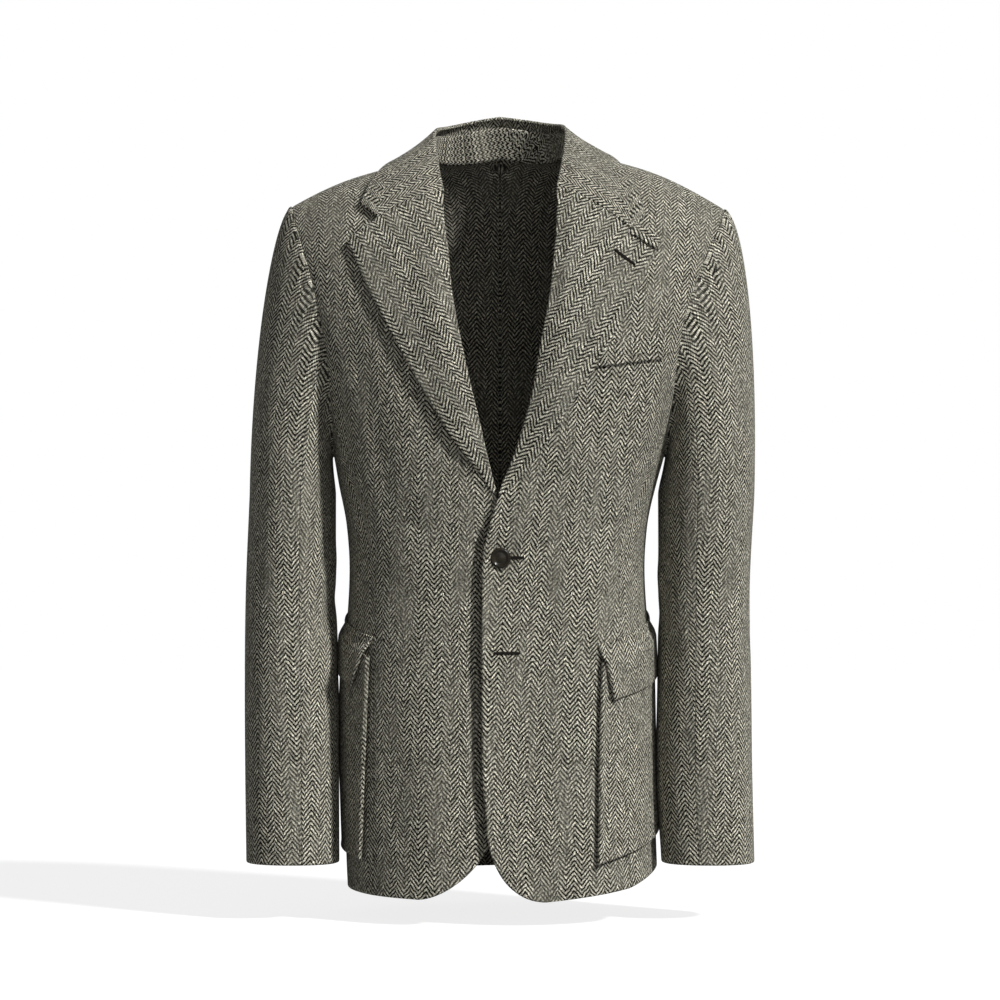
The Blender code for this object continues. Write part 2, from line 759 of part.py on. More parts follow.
def make_collar():
    steps = 10
    turn = collar_turns(steps)
    share = np.concatenate([np.linspace(0, NOTCH_SHARE, 5), np.linspace(NOTCH_SHARE, 1, 3)[1:]])
    right = fall_half(RIGHT, turn, share)
    left = fall_half(LEFT, turn, share)
    fall = np.concatenate([right[::-1], left[1:]])
    cloth("collar_fall", trimmed(fall, ("bottom", "top")), RIGHT)

    rows = np.linspace(0, 1, 4)
    halves = {}
    for side in (RIGHT, LEFT):
        across, back = neck_plan(turn[:-1])
        foot_level = level_over(side, across, back) + STAND_FOOT
        lean = read(COLLAR_SECTIONS, "lean", turn[:-1])
        rise = np.maximum(read(COLLAR_SECTIONS, "rise", turn[:-1]) - PLY, STAND_FOOT)
        ends = []
        for inward, up in ((STAND_INSET + 0 * lean, 0), (STAND_INSET + lean, rise)):
            scale = 1 - inward / NECK_HALF
            depth = NECK_MIDDLE + (back - NECK_MIDDLE) * scale
            ends.append(np.stack([side * across * scale, depth, foot_level + up], -1))
        foot, head = ends
        halves[side] = foot[:, None] + (head - foot)[:, None] * rows[None, :, None]
    stand = np.concatenate([halves[RIGHT][::-1], halves[LEFT][1:]])
    cloth("collar_stand", stand, LEFT)


def lapel_grid(side, rows=9):
    """A lapel, from just over the break up to the gorge seam and its own top edge."""
    name = side_name(side)
    tips = TIPS[side]
    up = np.linspace(0, 1, rows + 1)
    gorge_level = ROLL_LINE[-1].level
    inner_level = BREAK + 4 + (gorge_level - BREAK - 4) * up
    outer_level = BREAK + 4 + (tips.lapel_tip[1] - BREAK - 4) * up
    inner = read(ROLL_LINE, name, inner_level)
    reached = (outer_level - BREAK) / (tips.lapel_tip[1] - BREAK)
    outer = read(LAPEL_EDGE, name, BREAK + reached * (LAPEL_EDGE[-1].level - BREAK))
    outer[-1] = tips.lapel_tip[0]
    outer = np.maximum(outer, inner + 3)
    first = np.linspace(0, NOTCH_SHARE, 5)
    gorge_plan = fall_plan(side, np.array([GORGE_TURN]), first)[0]
    gorge_across = gorge_plan[:, 0]
    gorge_level_at = level_over(side, gorge_plan[:, 0], gorge_plan[:, 1])
    top_edge = np.linspace(0, 1, 3)[1:]
    notch = gorge_across[-1], gorge_level_at[-1]
    top_across = np.concatenate([gorge_across, notch[0] + (tips.lapel_tip[0] - notch[0]) * top_edge])
    top_level = np.concatenate([gorge_level_at, notch[1] + (tips.lapel_tip[1] - notch[1]) * top_edge])
    share = (top_across - top_across[0]) / (top_across[-1] - top_across[0])
    across = inner[:, None] + (outer - inner)[:, None] * share
    level = inner_level[:, None] + (outer_level - inner_level)[:, None] * share
    bend = up[:, None] ** 5
    across = across + bend * (top_across - across[-1])
    level = level + bend * (top_level - level[-1])
    turn = turn_at(side, across, level)
    base = torso(side, turn, level)
    from_fold = across - across[:, :1]
    width = (outer - inner)[:, None]
    out = front_lift(side, base) + FOLD_STAND + (stand_off(from_fold) - FOLD_STAND) * ease(width / 40)
    return torso_out(side, turn, level, out)


def make_lapels():
    for side in (RIGHT, LEFT):
        cloth(f"lapel_{side_name(side)}", trimmed(lapel_grid(side), ("top",), SEAM_GAP), side)


# ---------------------------------------------------------------- what lies on the fronts

def pocket_grid(side, columns=8, rows=7):
    """A patch pocket: a face standing off the front, with its edges turned in to the cloth."""
    sizes = POCKETS[side]
    up = np.linspace(0, 1, rows + 1)
    top_turn = turn_at(side, *sizes.pocket_top)
    low_turn = turn_at(side, *sizes.pocket_bottom)
    front_turn = low_turn + (top_turn - low_turn) * up
    share = np.linspace(0, 1, columns + 1)
    share = np.concatenate([[0, 0.012], share[1:-1], [0.988, 1]])
    turn = front_turn[:, None] + (sizes.rear_turn - front_turn)[:, None] * share
    low = sizes.pocket_bottom[1] + sizes.pocket_rise * share
    high = sizes.pocket_top[1] + sizes.flap_rise * share
    up_bent = np.concatenate([[0, 0.012], up[1:]])
    turn = np.concatenate([turn[:1], turn[:1], turn[1:]])
    level = low[None] + (high - low)[None] * up_bent[:, None]
    out = np.full(turn.shape, POCKET_STAND)
    out[:, 0] = out[:, -1] = PLY
    out[0] = PLY
    return torso_out(side, turn, level, out)


def flap_grid(side, columns=8):
    """A pocket flap: sewn down along its top edge, then lying over the pocket's mouth."""
    sizes = POCKETS[side]
    down = np.array([0, 0.14, 0.28, 0.6, 1.0])
    front_across = sizes.flap_top[0] + (sizes.flap_bottom[0] - sizes.flap_top[0]) * down
    front_level = sizes.flap_top[1] + (sizes.flap_bottom[1] - sizes.flap_top[1]) * down
    share = np.linspace(0, 1, columns + 1)
    front_turn = turn_at(side, front_across, front_level)
    turn = front_turn[:, None] + (sizes.rear_turn + 1 - front_turn)[:, None] * share
    level = front_level[:, None] + sizes.flap_rise * share[None] * (1 - 0.15 * down[:, None])
    out = PLY + (FLAP_STAND - PLY) * ease(down / 0.28)[:, None] + 0 * turn
    return torso_out(side, turn, level, out)[::-1]


def welt_grid(columns=6):
    """The breast welt: a plain strip on the left front, its inner end under the lapel."""
    share = np.linspace(0, 1, columns + 1)
    across = WELT["inner"][0] + (WELT["outer"][0] - WELT["inner"][0]) * share
    top = WELT["inner"][1] + (WELT["outer"][1] - WELT["inner"][1]) * share
    level = top[None] - WELT["height"] * np.array([1, 0.5, 0])[:, None]
    return torso_out(LEFT, turn_at(LEFT, across[None] + 0 * level, level), level, PLY)


def tab_grid():
    """The throat tab: a short strip in the left notch, its upper end under the collar."""
    start, end = np.array(TAB["start"], float), np.array(TAB["end"], float)
    along = (end - start) / np.linalg.norm(end - start)
    aside = np.array([-along[1], along[0]])
    lengths = np.linspace(0, 1, 5)
    widths = np.linspace(-1, 1, 3) * TAB["half_width"]
    place = start + (end - start) * lengths[None, :, None] + aside * widths[:, None, None]
    return torso_out(LEFT, turn_at(LEFT, place[..., 0], place[..., 1]), place[..., 1], PLY)


def make_details():
    for side in (RIGHT, LEFT):
        cloth(f"pocket_{side_name(side)}", pocket_grid(side), side)
        cloth(f"flap_{side_name(side)}", flap_grid(side), side)
    cloth("breast_welt", welt_grid(), LEFT)
    cloth("throat_tab", tab_grid(), LEFT)


def make_buttons():
    for name, level in BUTTON_LEVELS.items():
        side = LEFT if name == "upper" else RIGHT
        thickness = BUTTON_THICK if name == "upper" else HIDDEN_BUTTON_THICK
        base = torso(side, 0.0, level)
        lift = float(front_lift(side, base)) + BUTTON_STANDS[name]
        slope = torso(side, 0.0, level + 8) - torso(side, 0.0, level - 8)
        lean = math.atan2(slope[1], slope[2])
        button(f"button_{name}", thickness, base - np.array([0, lift, 0]), (math.pi / 2 - lean, 0, 0))


for leftover in list(bpy.data.objects):
    bpy.data.objects.remove(leftover, do_unlink=True)
collection = bpy.data.collections.new("hacking_jacket")
bpy.context.scene.collection.children.link(collection)
root = bpy.data.objects.new("jacket", None)
collection.objects.link(root)
make_body()
make_sleeves()
make_collar()
make_lapels()
make_details()
make_buttons()
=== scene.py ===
"""A tweed hacking jacket in its worn form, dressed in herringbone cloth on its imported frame.

Sizes in the classes are millimetres; meshes are written in metres.  The front faces -Y, +Z is up
and the wearer's left is +X.  Every panel is an area of one torso surface, with its own flat cloth
coordinates, so that the weave runs as the tailor laid it.
"""

import logging
import math
from dataclasses import dataclass, field
from enum import Enum
from typing import Any, Callable, Sequence

import bpy
import numpy as np
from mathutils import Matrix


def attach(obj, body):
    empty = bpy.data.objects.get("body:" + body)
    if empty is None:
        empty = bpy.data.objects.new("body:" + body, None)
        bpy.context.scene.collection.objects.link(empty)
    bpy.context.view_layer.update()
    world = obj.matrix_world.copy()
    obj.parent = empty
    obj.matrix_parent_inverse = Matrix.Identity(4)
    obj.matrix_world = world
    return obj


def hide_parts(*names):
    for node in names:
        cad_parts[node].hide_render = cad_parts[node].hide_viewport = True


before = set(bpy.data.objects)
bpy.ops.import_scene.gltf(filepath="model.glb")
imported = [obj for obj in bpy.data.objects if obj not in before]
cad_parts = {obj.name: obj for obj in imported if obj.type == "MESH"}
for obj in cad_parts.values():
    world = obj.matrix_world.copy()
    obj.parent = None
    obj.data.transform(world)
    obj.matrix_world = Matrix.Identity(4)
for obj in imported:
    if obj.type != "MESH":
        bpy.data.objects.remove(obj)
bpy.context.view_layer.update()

Array = np.ndarray
Number = float | Array

MM = 0.001
FLAT = "flat"            # name of every cloth piece's UV map, in metres of flat cloth
log = logging.getLogger("jacket")


class Side(Enum):
    """The wearer's side; the value is the sign of X."""

    RIGHT = -1
    LEFT = 1

    @property
    def word(self) -> str:
        """The side as a piece's name says it."""
        return self.name.lower()


class Half(Enum):
    """Which half of the torso a panel belongs to."""

    FRONT = "front"
    BACK = "back"


# ---------------------------------------------------------------- curves and grids


class Table:
    """Smooth curves through the columns of a short table, over its first column."""

    def __init__(self, names: str, rows: Sequence[Sequence[float]]) -> None:
        """Reads the rows under the names.

        Args:
            names: The columns' names, parted by spaces; the first is what the curves run over.
            rows: One row of numbers for each station.
        """
        values = np.array(rows, float)
        self.knots = values[:, 0]
        self.columns = dict(zip(names.split()[1:], values[:, 1:].T))

    def read(self, name: str, at: Number) -> Array:
        """Cubic Hermite curve with mean slopes: each span blends its ends' values and slopes.

        Args:
            name: The column.
            at: Where to read, held inside the table's ends.

        Returns:
            The column's value at each place.
        """
        values = self.columns[name]
        slopes = np.gradient(values, self.knots)
        at = np.clip(np.asarray(at, float), self.knots[0], self.knots[-1])
        i = np.clip(np.searchsorted(self.knots, at) - 1, 0, len(self.knots) - 2)
        step = self.knots[i + 1] - self.knots[i]
        t = (at - self.knots[i]) / step
        ends = values[i] * (1 + 2 * t) * (1 - t) ** 2 + values[i + 1] * t * t * (3 - 2 * t)
        return ends + step * t * (1 - t) * ((1 - t) * slopes[i] - t * slopes[i + 1])


def ease(t: Number) -> Array:
    """From 0 to 1 with level ends: three squares less two cubes."""
    t = np.clip(t, 0, 1)
    return t * t * (3 - 2 * t)


def bell(distance: Number, width: float) -> Array:
    """1 at no distance, falling off as a bell of that width."""
    return np.exp(-((np.asarray(distance) / width) ** 2))


def unit(vectors: Array) -> Array:
    """Vectors brought to length one."""
    return vectors / np.maximum(np.linalg.norm(vectors, axis=-1, keepdims=True), 1e-9)


def shares(count: int, width: float, near: bool = True, far: bool = True) -> Array:
    """Even shares across a piece, with close ones beside the edges that are turned.

    Args:
        count: How many even steps.
        width: The piece's rough width, so that the close ones lie at set distances.
        near: Whether the first edge has them.
        far: Whether the last edge has them.

    Returns:
        Rising shares from 0 to 1.
    """
    close = np.array([0.3, 0.8, 1.5, 2.4]) / width
    even = np.linspace(0, 1, count + 1)
    keep = np.ones(len(even), bool)
    keep[1:] &= ~(near & (even[1:] < 3.2 / width))
    keep[:-1] &= ~(far & (even[:-1] > 1 - 3.2 / width))
    parts = [even[keep]] + [close] * near + [1 - close] * far
    return np.sort(np.concatenate(parts))


def run_lengths(points: Array, axis: int) -> Array:
    """Length so far along the rows or columns of a grid of points.

    Args:
        points: Rows by columns by 3.
        axis: 0 to go up the columns, 1 to go along the rows.

    Returns:
        Rows by columns, 0 at the start.
    """
    steps = np.linalg.norm(np.diff(points, axis=axis), axis=-1)
    return np.cumsum(np.insert(steps, 0, 0.0, axis=axis), axis=axis)


def normals_of(points: Array, turn_round: bool) -> Array:
    """Unit normals of a grid: the cross product of its differences along rows and columns."""
    across = np.gradient(points, axis=1)
    up = np.gradient(points, axis=0)
    normal = unit(np.cross(across, up))
    return -normal if turn_round else normal


def lay_flat(points: Array, reference: int, across: Number, level: Number) -> Array:
    """Flat cloth coordinates: run length along each row, and up each column what is left of it.

    The second is the sum of the square roots of each step's square less the square of the first's
    change, so that the two stay at right angles.

    Args:
        points: Rows by columns by 3, from the bottom row up.
        reference: The column that the first coordinate is counted from.
        across: The first coordinate at that column, for each row.
        level: The second coordinate along the bottom row.

    Returns:
        Rows by columns by 2.
    """
    along = run_lengths(points, 1)
    along = along - along[:, reference : reference + 1] + np.reshape(across, (-1, 1))
    steps = np.linalg.norm(np.diff(points, axis=0), axis=-1) ** 2 - np.diff(along, axis=0) ** 2
    up = np.cumsum(np.insert(np.sqrt(np.maximum(steps, 0)), 0, 0.0, axis=0), axis=0)
    return np.stack([along, up + level], -1)


def settled(points: Array, flat: Array, rounds: int = 260) -> Array:
    """Flat coordinates eased until short runs of the cloth keep their lengths.

    Each round, every step along a row, a column or a diagonal moves its two ends by
    half of (1 - true length / flat length) of itself; a point takes the average of its moves.

    Args:
        points: Rows by columns by 3.
        flat: Rows by columns by 2, to start from.
        rounds: How many times to ease them.

    Returns:
        Rows by columns by 2.
    """
    most, least = slice(1, None), slice(None, -1)
    every = slice(None)
    pairs = [
        ((least, every), (most, every)),
        ((every, least), (every, most)),
        ((least, least), (most, most)),
        ((least, most), (most, least)),
    ]
    true = [np.linalg.norm(points[there] - points[here], axis=-1) for here, there in pairs]
    met = np.zeros(flat.shape[:2])
    for here, there in pairs:
        met[here] += 1
        met[there] += 1
    flat = flat.astype(float)
    for _ in range(rounds):
        moves = np.zeros_like(flat)
        for (here, there), length in zip(pairs, true):
            gap = flat[there] - flat[here]
            far = np.maximum(np.linalg.norm(gap, axis=-1), 1e-6)
            move = (0.5 * (1 - length / far))[..., None] * gap
            moves[here] += move
            moves[there] -= move
        flat = flat + 1.5 * moves / met[..., None]
    return flat


@dataclass(frozen=True)
class Crease:
    """A soft fold: a bell across a bowed line, fading at both ends; a trough where it is negative."""

    start: tuple[float, float]
    end: tuple[float, float]
    width: float
    height: float
    bow: float = 0.0

    @classmethod
    def table(cls, rows: Sequence[Sequence[float]]) -> "tuple[Crease, ...]":
        """Creases from rows of two for the start, two for the end, the width, height and bow."""
        return tuple(cls(tuple(row[:2]), tuple(row[2:4]), *row[4:]) for row in rows)

    def over(self, across: Array, level: Array) -> Array:
        """Height of the fold: the bell of the distance from the line, times a rounded fade.

        Args:
            across: First coordinate of each place, in millimetres along the cloth.
            level: Second coordinate.

        Returns:
            How far each place is raised.
        """
        line = np.subtract(self.end, self.start)
        length = np.hypot(*line)
        way = line / length
        x, z = across - self.start[0], level - self.start[1]
        t = np.clip((x * way[0] + z * way[1]) / length, 0, 1)
        off = x * way[1] - z * way[0] - self.bow * 4 * t * (1 - t)
        fade = np.sin(math.pi * t) ** 0.8
        uneven = 1 + 0.22 * np.sin(9.0 * t + self.start[1] * 0.37)
        return self.height * uneven * fade * bell(off, self.width)


def folds(creases: Sequence[Crease], across: Array, level: Array) -> Array:
    """All the folds of a piece together."""
    total = np.zeros(np.broadcast(across, level).shape)
    for crease in creases:
        total = total + crease.over(across, level)
    return total


# ---------------------------------------------------------------- the torso


@dataclass
class Torso:
    """The surface that the body panels are areas of: rounded level sections under a shoulder line."""

    roundness: float = 2.5
    front_fall: float = 190.0
    back_fall: float = 130.0
    ridge_at_neck: float = 12.0
    ridge_end: float = 220.0
    neck_half: float = 72.0
    neck_back: float = 62.0
    neck_front: float = 120.0
    sections: Table = field(default_factory=lambda: Table("level right left front back", (
        (-745, 152, 158, 134, 140), (-700, 153, 156, 132, 139), (-600, 154, 151, 128, 133),
        (-500, 154, 149, 125, 119), (-400, 151, 145, 126, 108), (-370, 154, 148, 128, 108),
        (-335, 161, 156, 130, 111), (-300, 167, 166, 133, 118), (-240, 181, 185, 135, 126),
        (-160, 203, 210, 131, 129), (-70, 226, 242, 121, 120), (20, 232, 248, 113, 106),
    )))
    shoulder_line: Table = field(default_factory=lambda: Table("reach right left", (
        (-40, 14, 14), (0, 16, 16), (72, -7, -3), (109, -17, -10), (161, -33.5, -26),
        (213, -60, -53), (226, -68, -61), (250, -86, -78),
    )))

    @property
    def neck_middle(self) -> float:
        """How far back the widest place of the neck seam lies: on the ridge."""
        return self.ridge_at_neck * (1 - self.neck_half / self.ridge_end)

    def shoulder(self, side: Side, across: Number) -> Array:
        """Level of the shoulder line at a distance from the middle."""
        return self.shoulder_line.read(side.word, np.abs(across))

    def ridge(self, across: Number) -> Array:
        """How far back the shoulder line lies."""
        return self.ridge_at_neck * (1 - np.clip(np.abs(across) / self.ridge_end, 0, 1))

    def turn_at(self, side: Side, across: Number, level: Number) -> Array:
        """The angle from the centre front at a distance from the middle line, on the front half."""
        share = np.clip(across / self.sections.read(side.word, level), -1, 1)
        return np.degrees(np.arcsin(np.sign(share) * np.abs(share) ** (self.roundness / 2)))

    def depths(self, in_front: Array, level: Number) -> tuple[Array, Array]:
        """Depth of the section and height of the rounding, for the half each place is on."""
        depth = np.where(in_front, self.sections.read("front", level), self.sections.read("back", level))
        return depth, np.where(in_front, self.front_fall, self.back_fall)

    def at(self, side: Side, turn: Number, level: Number) -> Array:
        """Points at angles from the centre front and levels.

        The level section is a superellipse; near the shoulder its depth shrinks as a quarter
        circle, to nothing at the shoulder line.

        Args:
            side: The wearer's side.
            turn: Degrees from the centre front; 180 is the centre back.
            level: Height.

        Returns:
            Points, with X, Y and Z last.
        """
        turn, level = np.broadcast_arrays(np.asarray(turn, float), np.asarray(level, float))
        sine, cosine = np.sin(np.radians(turn)), np.cos(np.radians(turn))
        power = 2 / self.roundness
        across = self.sections.read(side.word, level) * np.sign(sine) * np.abs(sine) ** power
        depth, fall = self.depths(cosine > 0, level)
        below = np.clip((self.shoulder(side, across) - level) / fall, 0, 1)
        swell = np.abs(cosine) ** power * np.sqrt(1 - (1 - below) ** 2)
        back = self.ridge(across) - np.sign(cosine) * depth * swell
        return np.stack([side.value * across, back, level], -1)

    def normal(self, side: Side, turn: Array, level: Array) -> Array:
        """Outward unit normals: the cross product of small steps round and up."""
        round_it = self.at(side, turn + 0.4, level) - self.at(side, turn - 0.4, level)
        up_it = self.at(side, turn, level + 0.8) - self.at(side, turn, level - 0.8)
        return unit(np.cross(round_it, up_it) * side.value)

    def level_over(self, side: Side, across: Array, back: Array) -> Array:
        """Level of the upper torso over a place in plan: the section's formula turned round.

        Args:
            side: The wearer's side.
            across: Distance from the middle.
            back: Y of the place.

        Returns:
            The level, after six rounds of reading the section at the last level found.
        """
        level = self.shoulder(side, across) - 10.0
        for _ in range(6):
            half = self.sections.read(side.word, level)
            power = self.roundness
            share = (1 - np.clip(np.abs(across) / half, 0, 1) ** power) ** (1 / power)
            depth, fall = self.depths(back < self.ridge(across), level)
            swell = np.clip(np.abs(back - self.ridge(across)) / (depth * share), 0, 0.999)
            level = self.shoulder(side, across) - fall * (1 - np.sqrt(1 - swell**2))
        return level

    def turn_over(self, side: Side, across: Array, back: Array, level: Array) -> Array:
        """The angle round the torso of a place in plan."""
        turn = self.turn_at(side, across, level)
        return np.where(back < self.ridge(across), turn, 180 - turn)

    def neck_plan(self, turn: Array) -> tuple[Array, Array]:
        """The neck seam in plan, at angles from the centre back: two half ellipses."""
        t = np.radians(turn)
        reach = np.where(turn < 90, self.neck_back, self.neck_front)
        return self.neck_half * np.sin(t), self.neck_middle + reach * np.cos(t)

    def neck_place(self, side: Side, turn: Array, half: Half) -> tuple[Array, Array]:
        """The neck seam of one half, as angle round the torso and level."""
        across, back = self.neck_plan(turn)
        level = self.level_over(side, across, back)
        round_front = self.turn_at(side, across, level)
        return (round_front if half is Half.FRONT else 180 - round_front), level


# ---------------------------------------------------------------- cloth into meshes


class Piece:
    """Meshes made from grids, riding on the frame in place of its nodes."""

    @staticmethod
    def from_arrays(name: str, points: Array, faces: Sequence[Sequence[int]],
                    finish: bpy.types.Material) -> bpy.types.Object:
        """Puts points and faces into a new object at the origin.

        Args:
            name: The piece's name.
            points: Points in millimetres, any shape with 3 last.
            faces: The point numbers of each face.
            finish: Its material.

        Returns:
            The new object.
        """
        mesh = bpy.data.meshes.new(name)
        mesh.from_pydata((points.reshape(-1, 3) * MM).tolist(), [], list(map(tuple, faces)))
        mesh.materials.append(finish)
        mesh.shade_smooth()
        made = bpy.data.objects.new(name, mesh)
        bpy.context.scene.collection.objects.link(made)
        return made

    @staticmethod
    def quads(rows: int, columns: int, turned: bool = False, wrap: bool = False) -> Array:
        """Point numbers of the faces of a grid.

        Args:
            rows: Rows of points.
            columns: Columns of points.
            turned: Whether the faces look the other way.
            wrap: Whether the last column joins the first.

        Returns:
            One row of four numbers for each face.
        """
        index = np.arange(rows * columns).reshape(rows, columns)
        if wrap:
            index = np.concatenate([index, index[:, :1]], 1)
        corners = [index[:-1, :-1], index[:-1, 1:], index[1:, 1:], index[1:, :-1]]
        faces = np.stack(corners, -1).reshape(-1, 4)
        return faces[:, ::-1] if turned else faces

    @staticmethod
    def cloth(name: str, points: Array, flat: Array, finish: bpy.types.Material, turned: bool,
              thickness: float = 2.0) -> bpy.types.Object:
        """A wall of cloth whose outer face is the grid, with its flat coordinates as a UV map.

        Args:
            name: The piece's name.
            points: Rows by columns by 3, the outer face.
            flat: Rows by columns by 2, millimetres of flat cloth.
            finish: Its material.
            turned: Whether the grid's faces have to be turned to look outwards.
            thickness: Of the wall, inwards from the grid.

        Returns:
            The new object.
        """
        faces = Piece.quads(*points.shape[:2], turned=turned)
        made = Piece.from_arrays(name, points, faces, finish)
        layer = made.data.uv_layers.new(name=FLAT)
        spread = (flat.reshape(-1, 2) * MM)[faces.reshape(-1)]
        layer.data.foreach_set("uv", spread.astype(np.float32).reshape(-1))
        wall = made.modifiers.new("wall", "SOLIDIFY")
        wall.thickness = thickness * MM
        wall.offset = -1
        return made

    @staticmethod
    def place(made: bpy.types.Object, slot: str, nodes: Sequence[str] = ()) -> None:
        """The piece rides on the jacket and stands for the nodes, which are hidden."""
        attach(made, "root")
        if nodes:
            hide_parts(*nodes)
        log.info("%s: %d faces", made.name, len(made.data.polygons))

    @staticmethod
    def dress(node: str, points: Array, flat: Array, finish: bpy.types.Material, turned: bool,
              held: str, rests_on: Sequence[str], thickness: float = 2.0) -> None:
        """Makes one piece of cloth and puts it in place of its CAD node.

        Args:
            node: The CAD node that it stands for; the piece's name adds _cloth.
            points: Rows by columns by 3, the outer face.
            flat: Rows by columns by 2, millimetres of flat cloth.
            finish: Its material.
            turned: Whether the grid's faces have to be turned to look outwards.
            held: How it is held; not used.
            rests_on: What it hangs from or lies on; not used.
            thickness: Of the wall.
        """
        made = Piece.cloth(f"{node}_cloth", points, flat, finish, turned, thickness)
        Piece.place(made, "tweed", [node])
        Piece.sheet(made, flat, held, rests_on)

    @staticmethod
    def sheet(made: bpy.types.Object, flat: Array, held: str, rests_on: Sequence[str]) -> None:
        """Args:
            made: The piece; not used.
            flat: Rows by columns by 2, millimetres of flat cloth.
            held: How it is held; not used.
            rests_on: What it hangs from or lies on; not used.
        """
        one, two = flat[1:, 1:] - flat[:-1, :-1], flat[:-1, 1:] - flat[1:, :-1]
        area = 0.5 * np.abs(one[..., 0] * two[..., 1] - one[..., 1] * two[..., 0]).sum() * MM**2


def edge_distances(points: Array) -> dict[str, Array]:
    """Distance of every grid point from the grid's four edges, measured along it."""
    along, up = run_lengths(points, 1), run_lengths(points, 0)
    return {"inner": along, "outer": along[:, -1:] - along, "bottom": up, "top": up[-1:] - up}


def turned_edge(distances: dict[str, Array], radii: dict[str, Number]) -> Array:
    """How far the cloth drops beside its edges: a quarter circle of each edge's radius.

    Args:
        distances: From edge_distances.
        radii: Radius for each named edge, one number or one for each point along it.

    Returns:
        The drop of every grid point.
    """
    drop = np.zeros_like(distances["inner"])
    for edge, radius in radii.items():
        radius = np.asarray(radius, float)
        if radius.ndim:
            radius = radius[:, None] if edge in ("inner", "outer") else radius[None]
        short = np.clip(radius - distances[edge], 0, radius)
        drop = np.maximum(drop, radius - np.sqrt(np.maximum(radius**2 - short**2, 0)))
    return drop


def folded_over(points: Array, normals: Array, radius: Number, steps: int = 7) -> Array:
    """The rounded fold that a turned-over layer comes out of, before its first column.

    A part circle of the radius, from under the fold to its top, in the plane of the normal and
    the way to the first column from the second.

    Args:
        points: The layer's grid.
        normals: Its normals.
        radius: Of the fold, one number or one for each row.
        steps: How many columns the fold gets.

    Returns:
        The grid with the fold's columns in front.
    """
    inward = unit(points[:, 0] - points[:, 2])[:, None]
    normal = normals[:, :1]
    radius = np.broadcast_to(radius, (len(points),))[:, None, None]
    angle = np.radians(np.linspace(-75, 80, steps))[None, :, None]
    round_it = inward * np.cos(angle) + normal * (np.sin(angle) - 1)
    return np.concatenate([points[:, :1] + radius * round_it, points], 1)


# ---------------------------------------------------------------- shader maths


def set_socket(tree: bpy.types.NodeTree, socket: bpy.types.NodeSocket, item: Any) -> None:
    """Links a value to a socket, or sets the socket to a plain number or colour."""
    if isinstance(item, Value):
        tree.links.new(item.socket, socket)
    elif isinstance(item, bpy.types.NodeSocket):
        tree.links.new(item, socket)
    else:
        socket.default_value = item


@dataclass(frozen=True)
class Value:
    """A socket that a material's numbers come from; Python's operators add its Math nodes."""

    tree: bpy.types.NodeTree
    socket: bpy.types.NodeSocket

    def maths(self, operation: str, *items: Any) -> "Value":
        """Adds one Math node over the items, in their order."""
        node = self.tree.nodes.new("ShaderNodeMath")
        node.operation = operation
        for socket, item in zip(node.inputs, items):
            set_socket(self.tree, socket, item)
        return Value(self.tree, node.outputs[0])

    def __add__(self, other: Any) -> "Value":
        """Sum."""
        return self.maths("ADD", self, other)

    __radd__ = __add__

    def __sub__(self, other: Any) -> "Value":
        """Difference."""
        return self.maths("SUBTRACT", self, other)

    def __rsub__(self, other: Any) -> "Value":
        """Difference from a number."""
        return self.maths("SUBTRACT", other, self)

    def __mul__(self, other: Any) -> "Value":
        """Product."""
        return self.maths("MULTIPLY", self, other)

    __rmul__ = __mul__

    def __truediv__(self, other: Any) -> "Value":
        """Quotient."""
        return self.maths("DIVIDE", self, other)

    def floor(self) -> "Value":
        """The whole number below."""
        return self.maths("FLOOR", self)

    def fract(self) -> "Value":
        """What is left above the whole number below."""
        return self.maths("FRACT", self)

    def sine(self, waves: float) -> "Value":
        """Sine that goes round that many times for each 1 of the value."""
        return self.maths("SINE", self * (2 * math.pi * waves))

    def clamp(self) -> "Value":
        """Held between 0 and 1."""
        return self.maths("MINIMUM", self.maths("MAXIMUM", self, 0.0), 1.0)


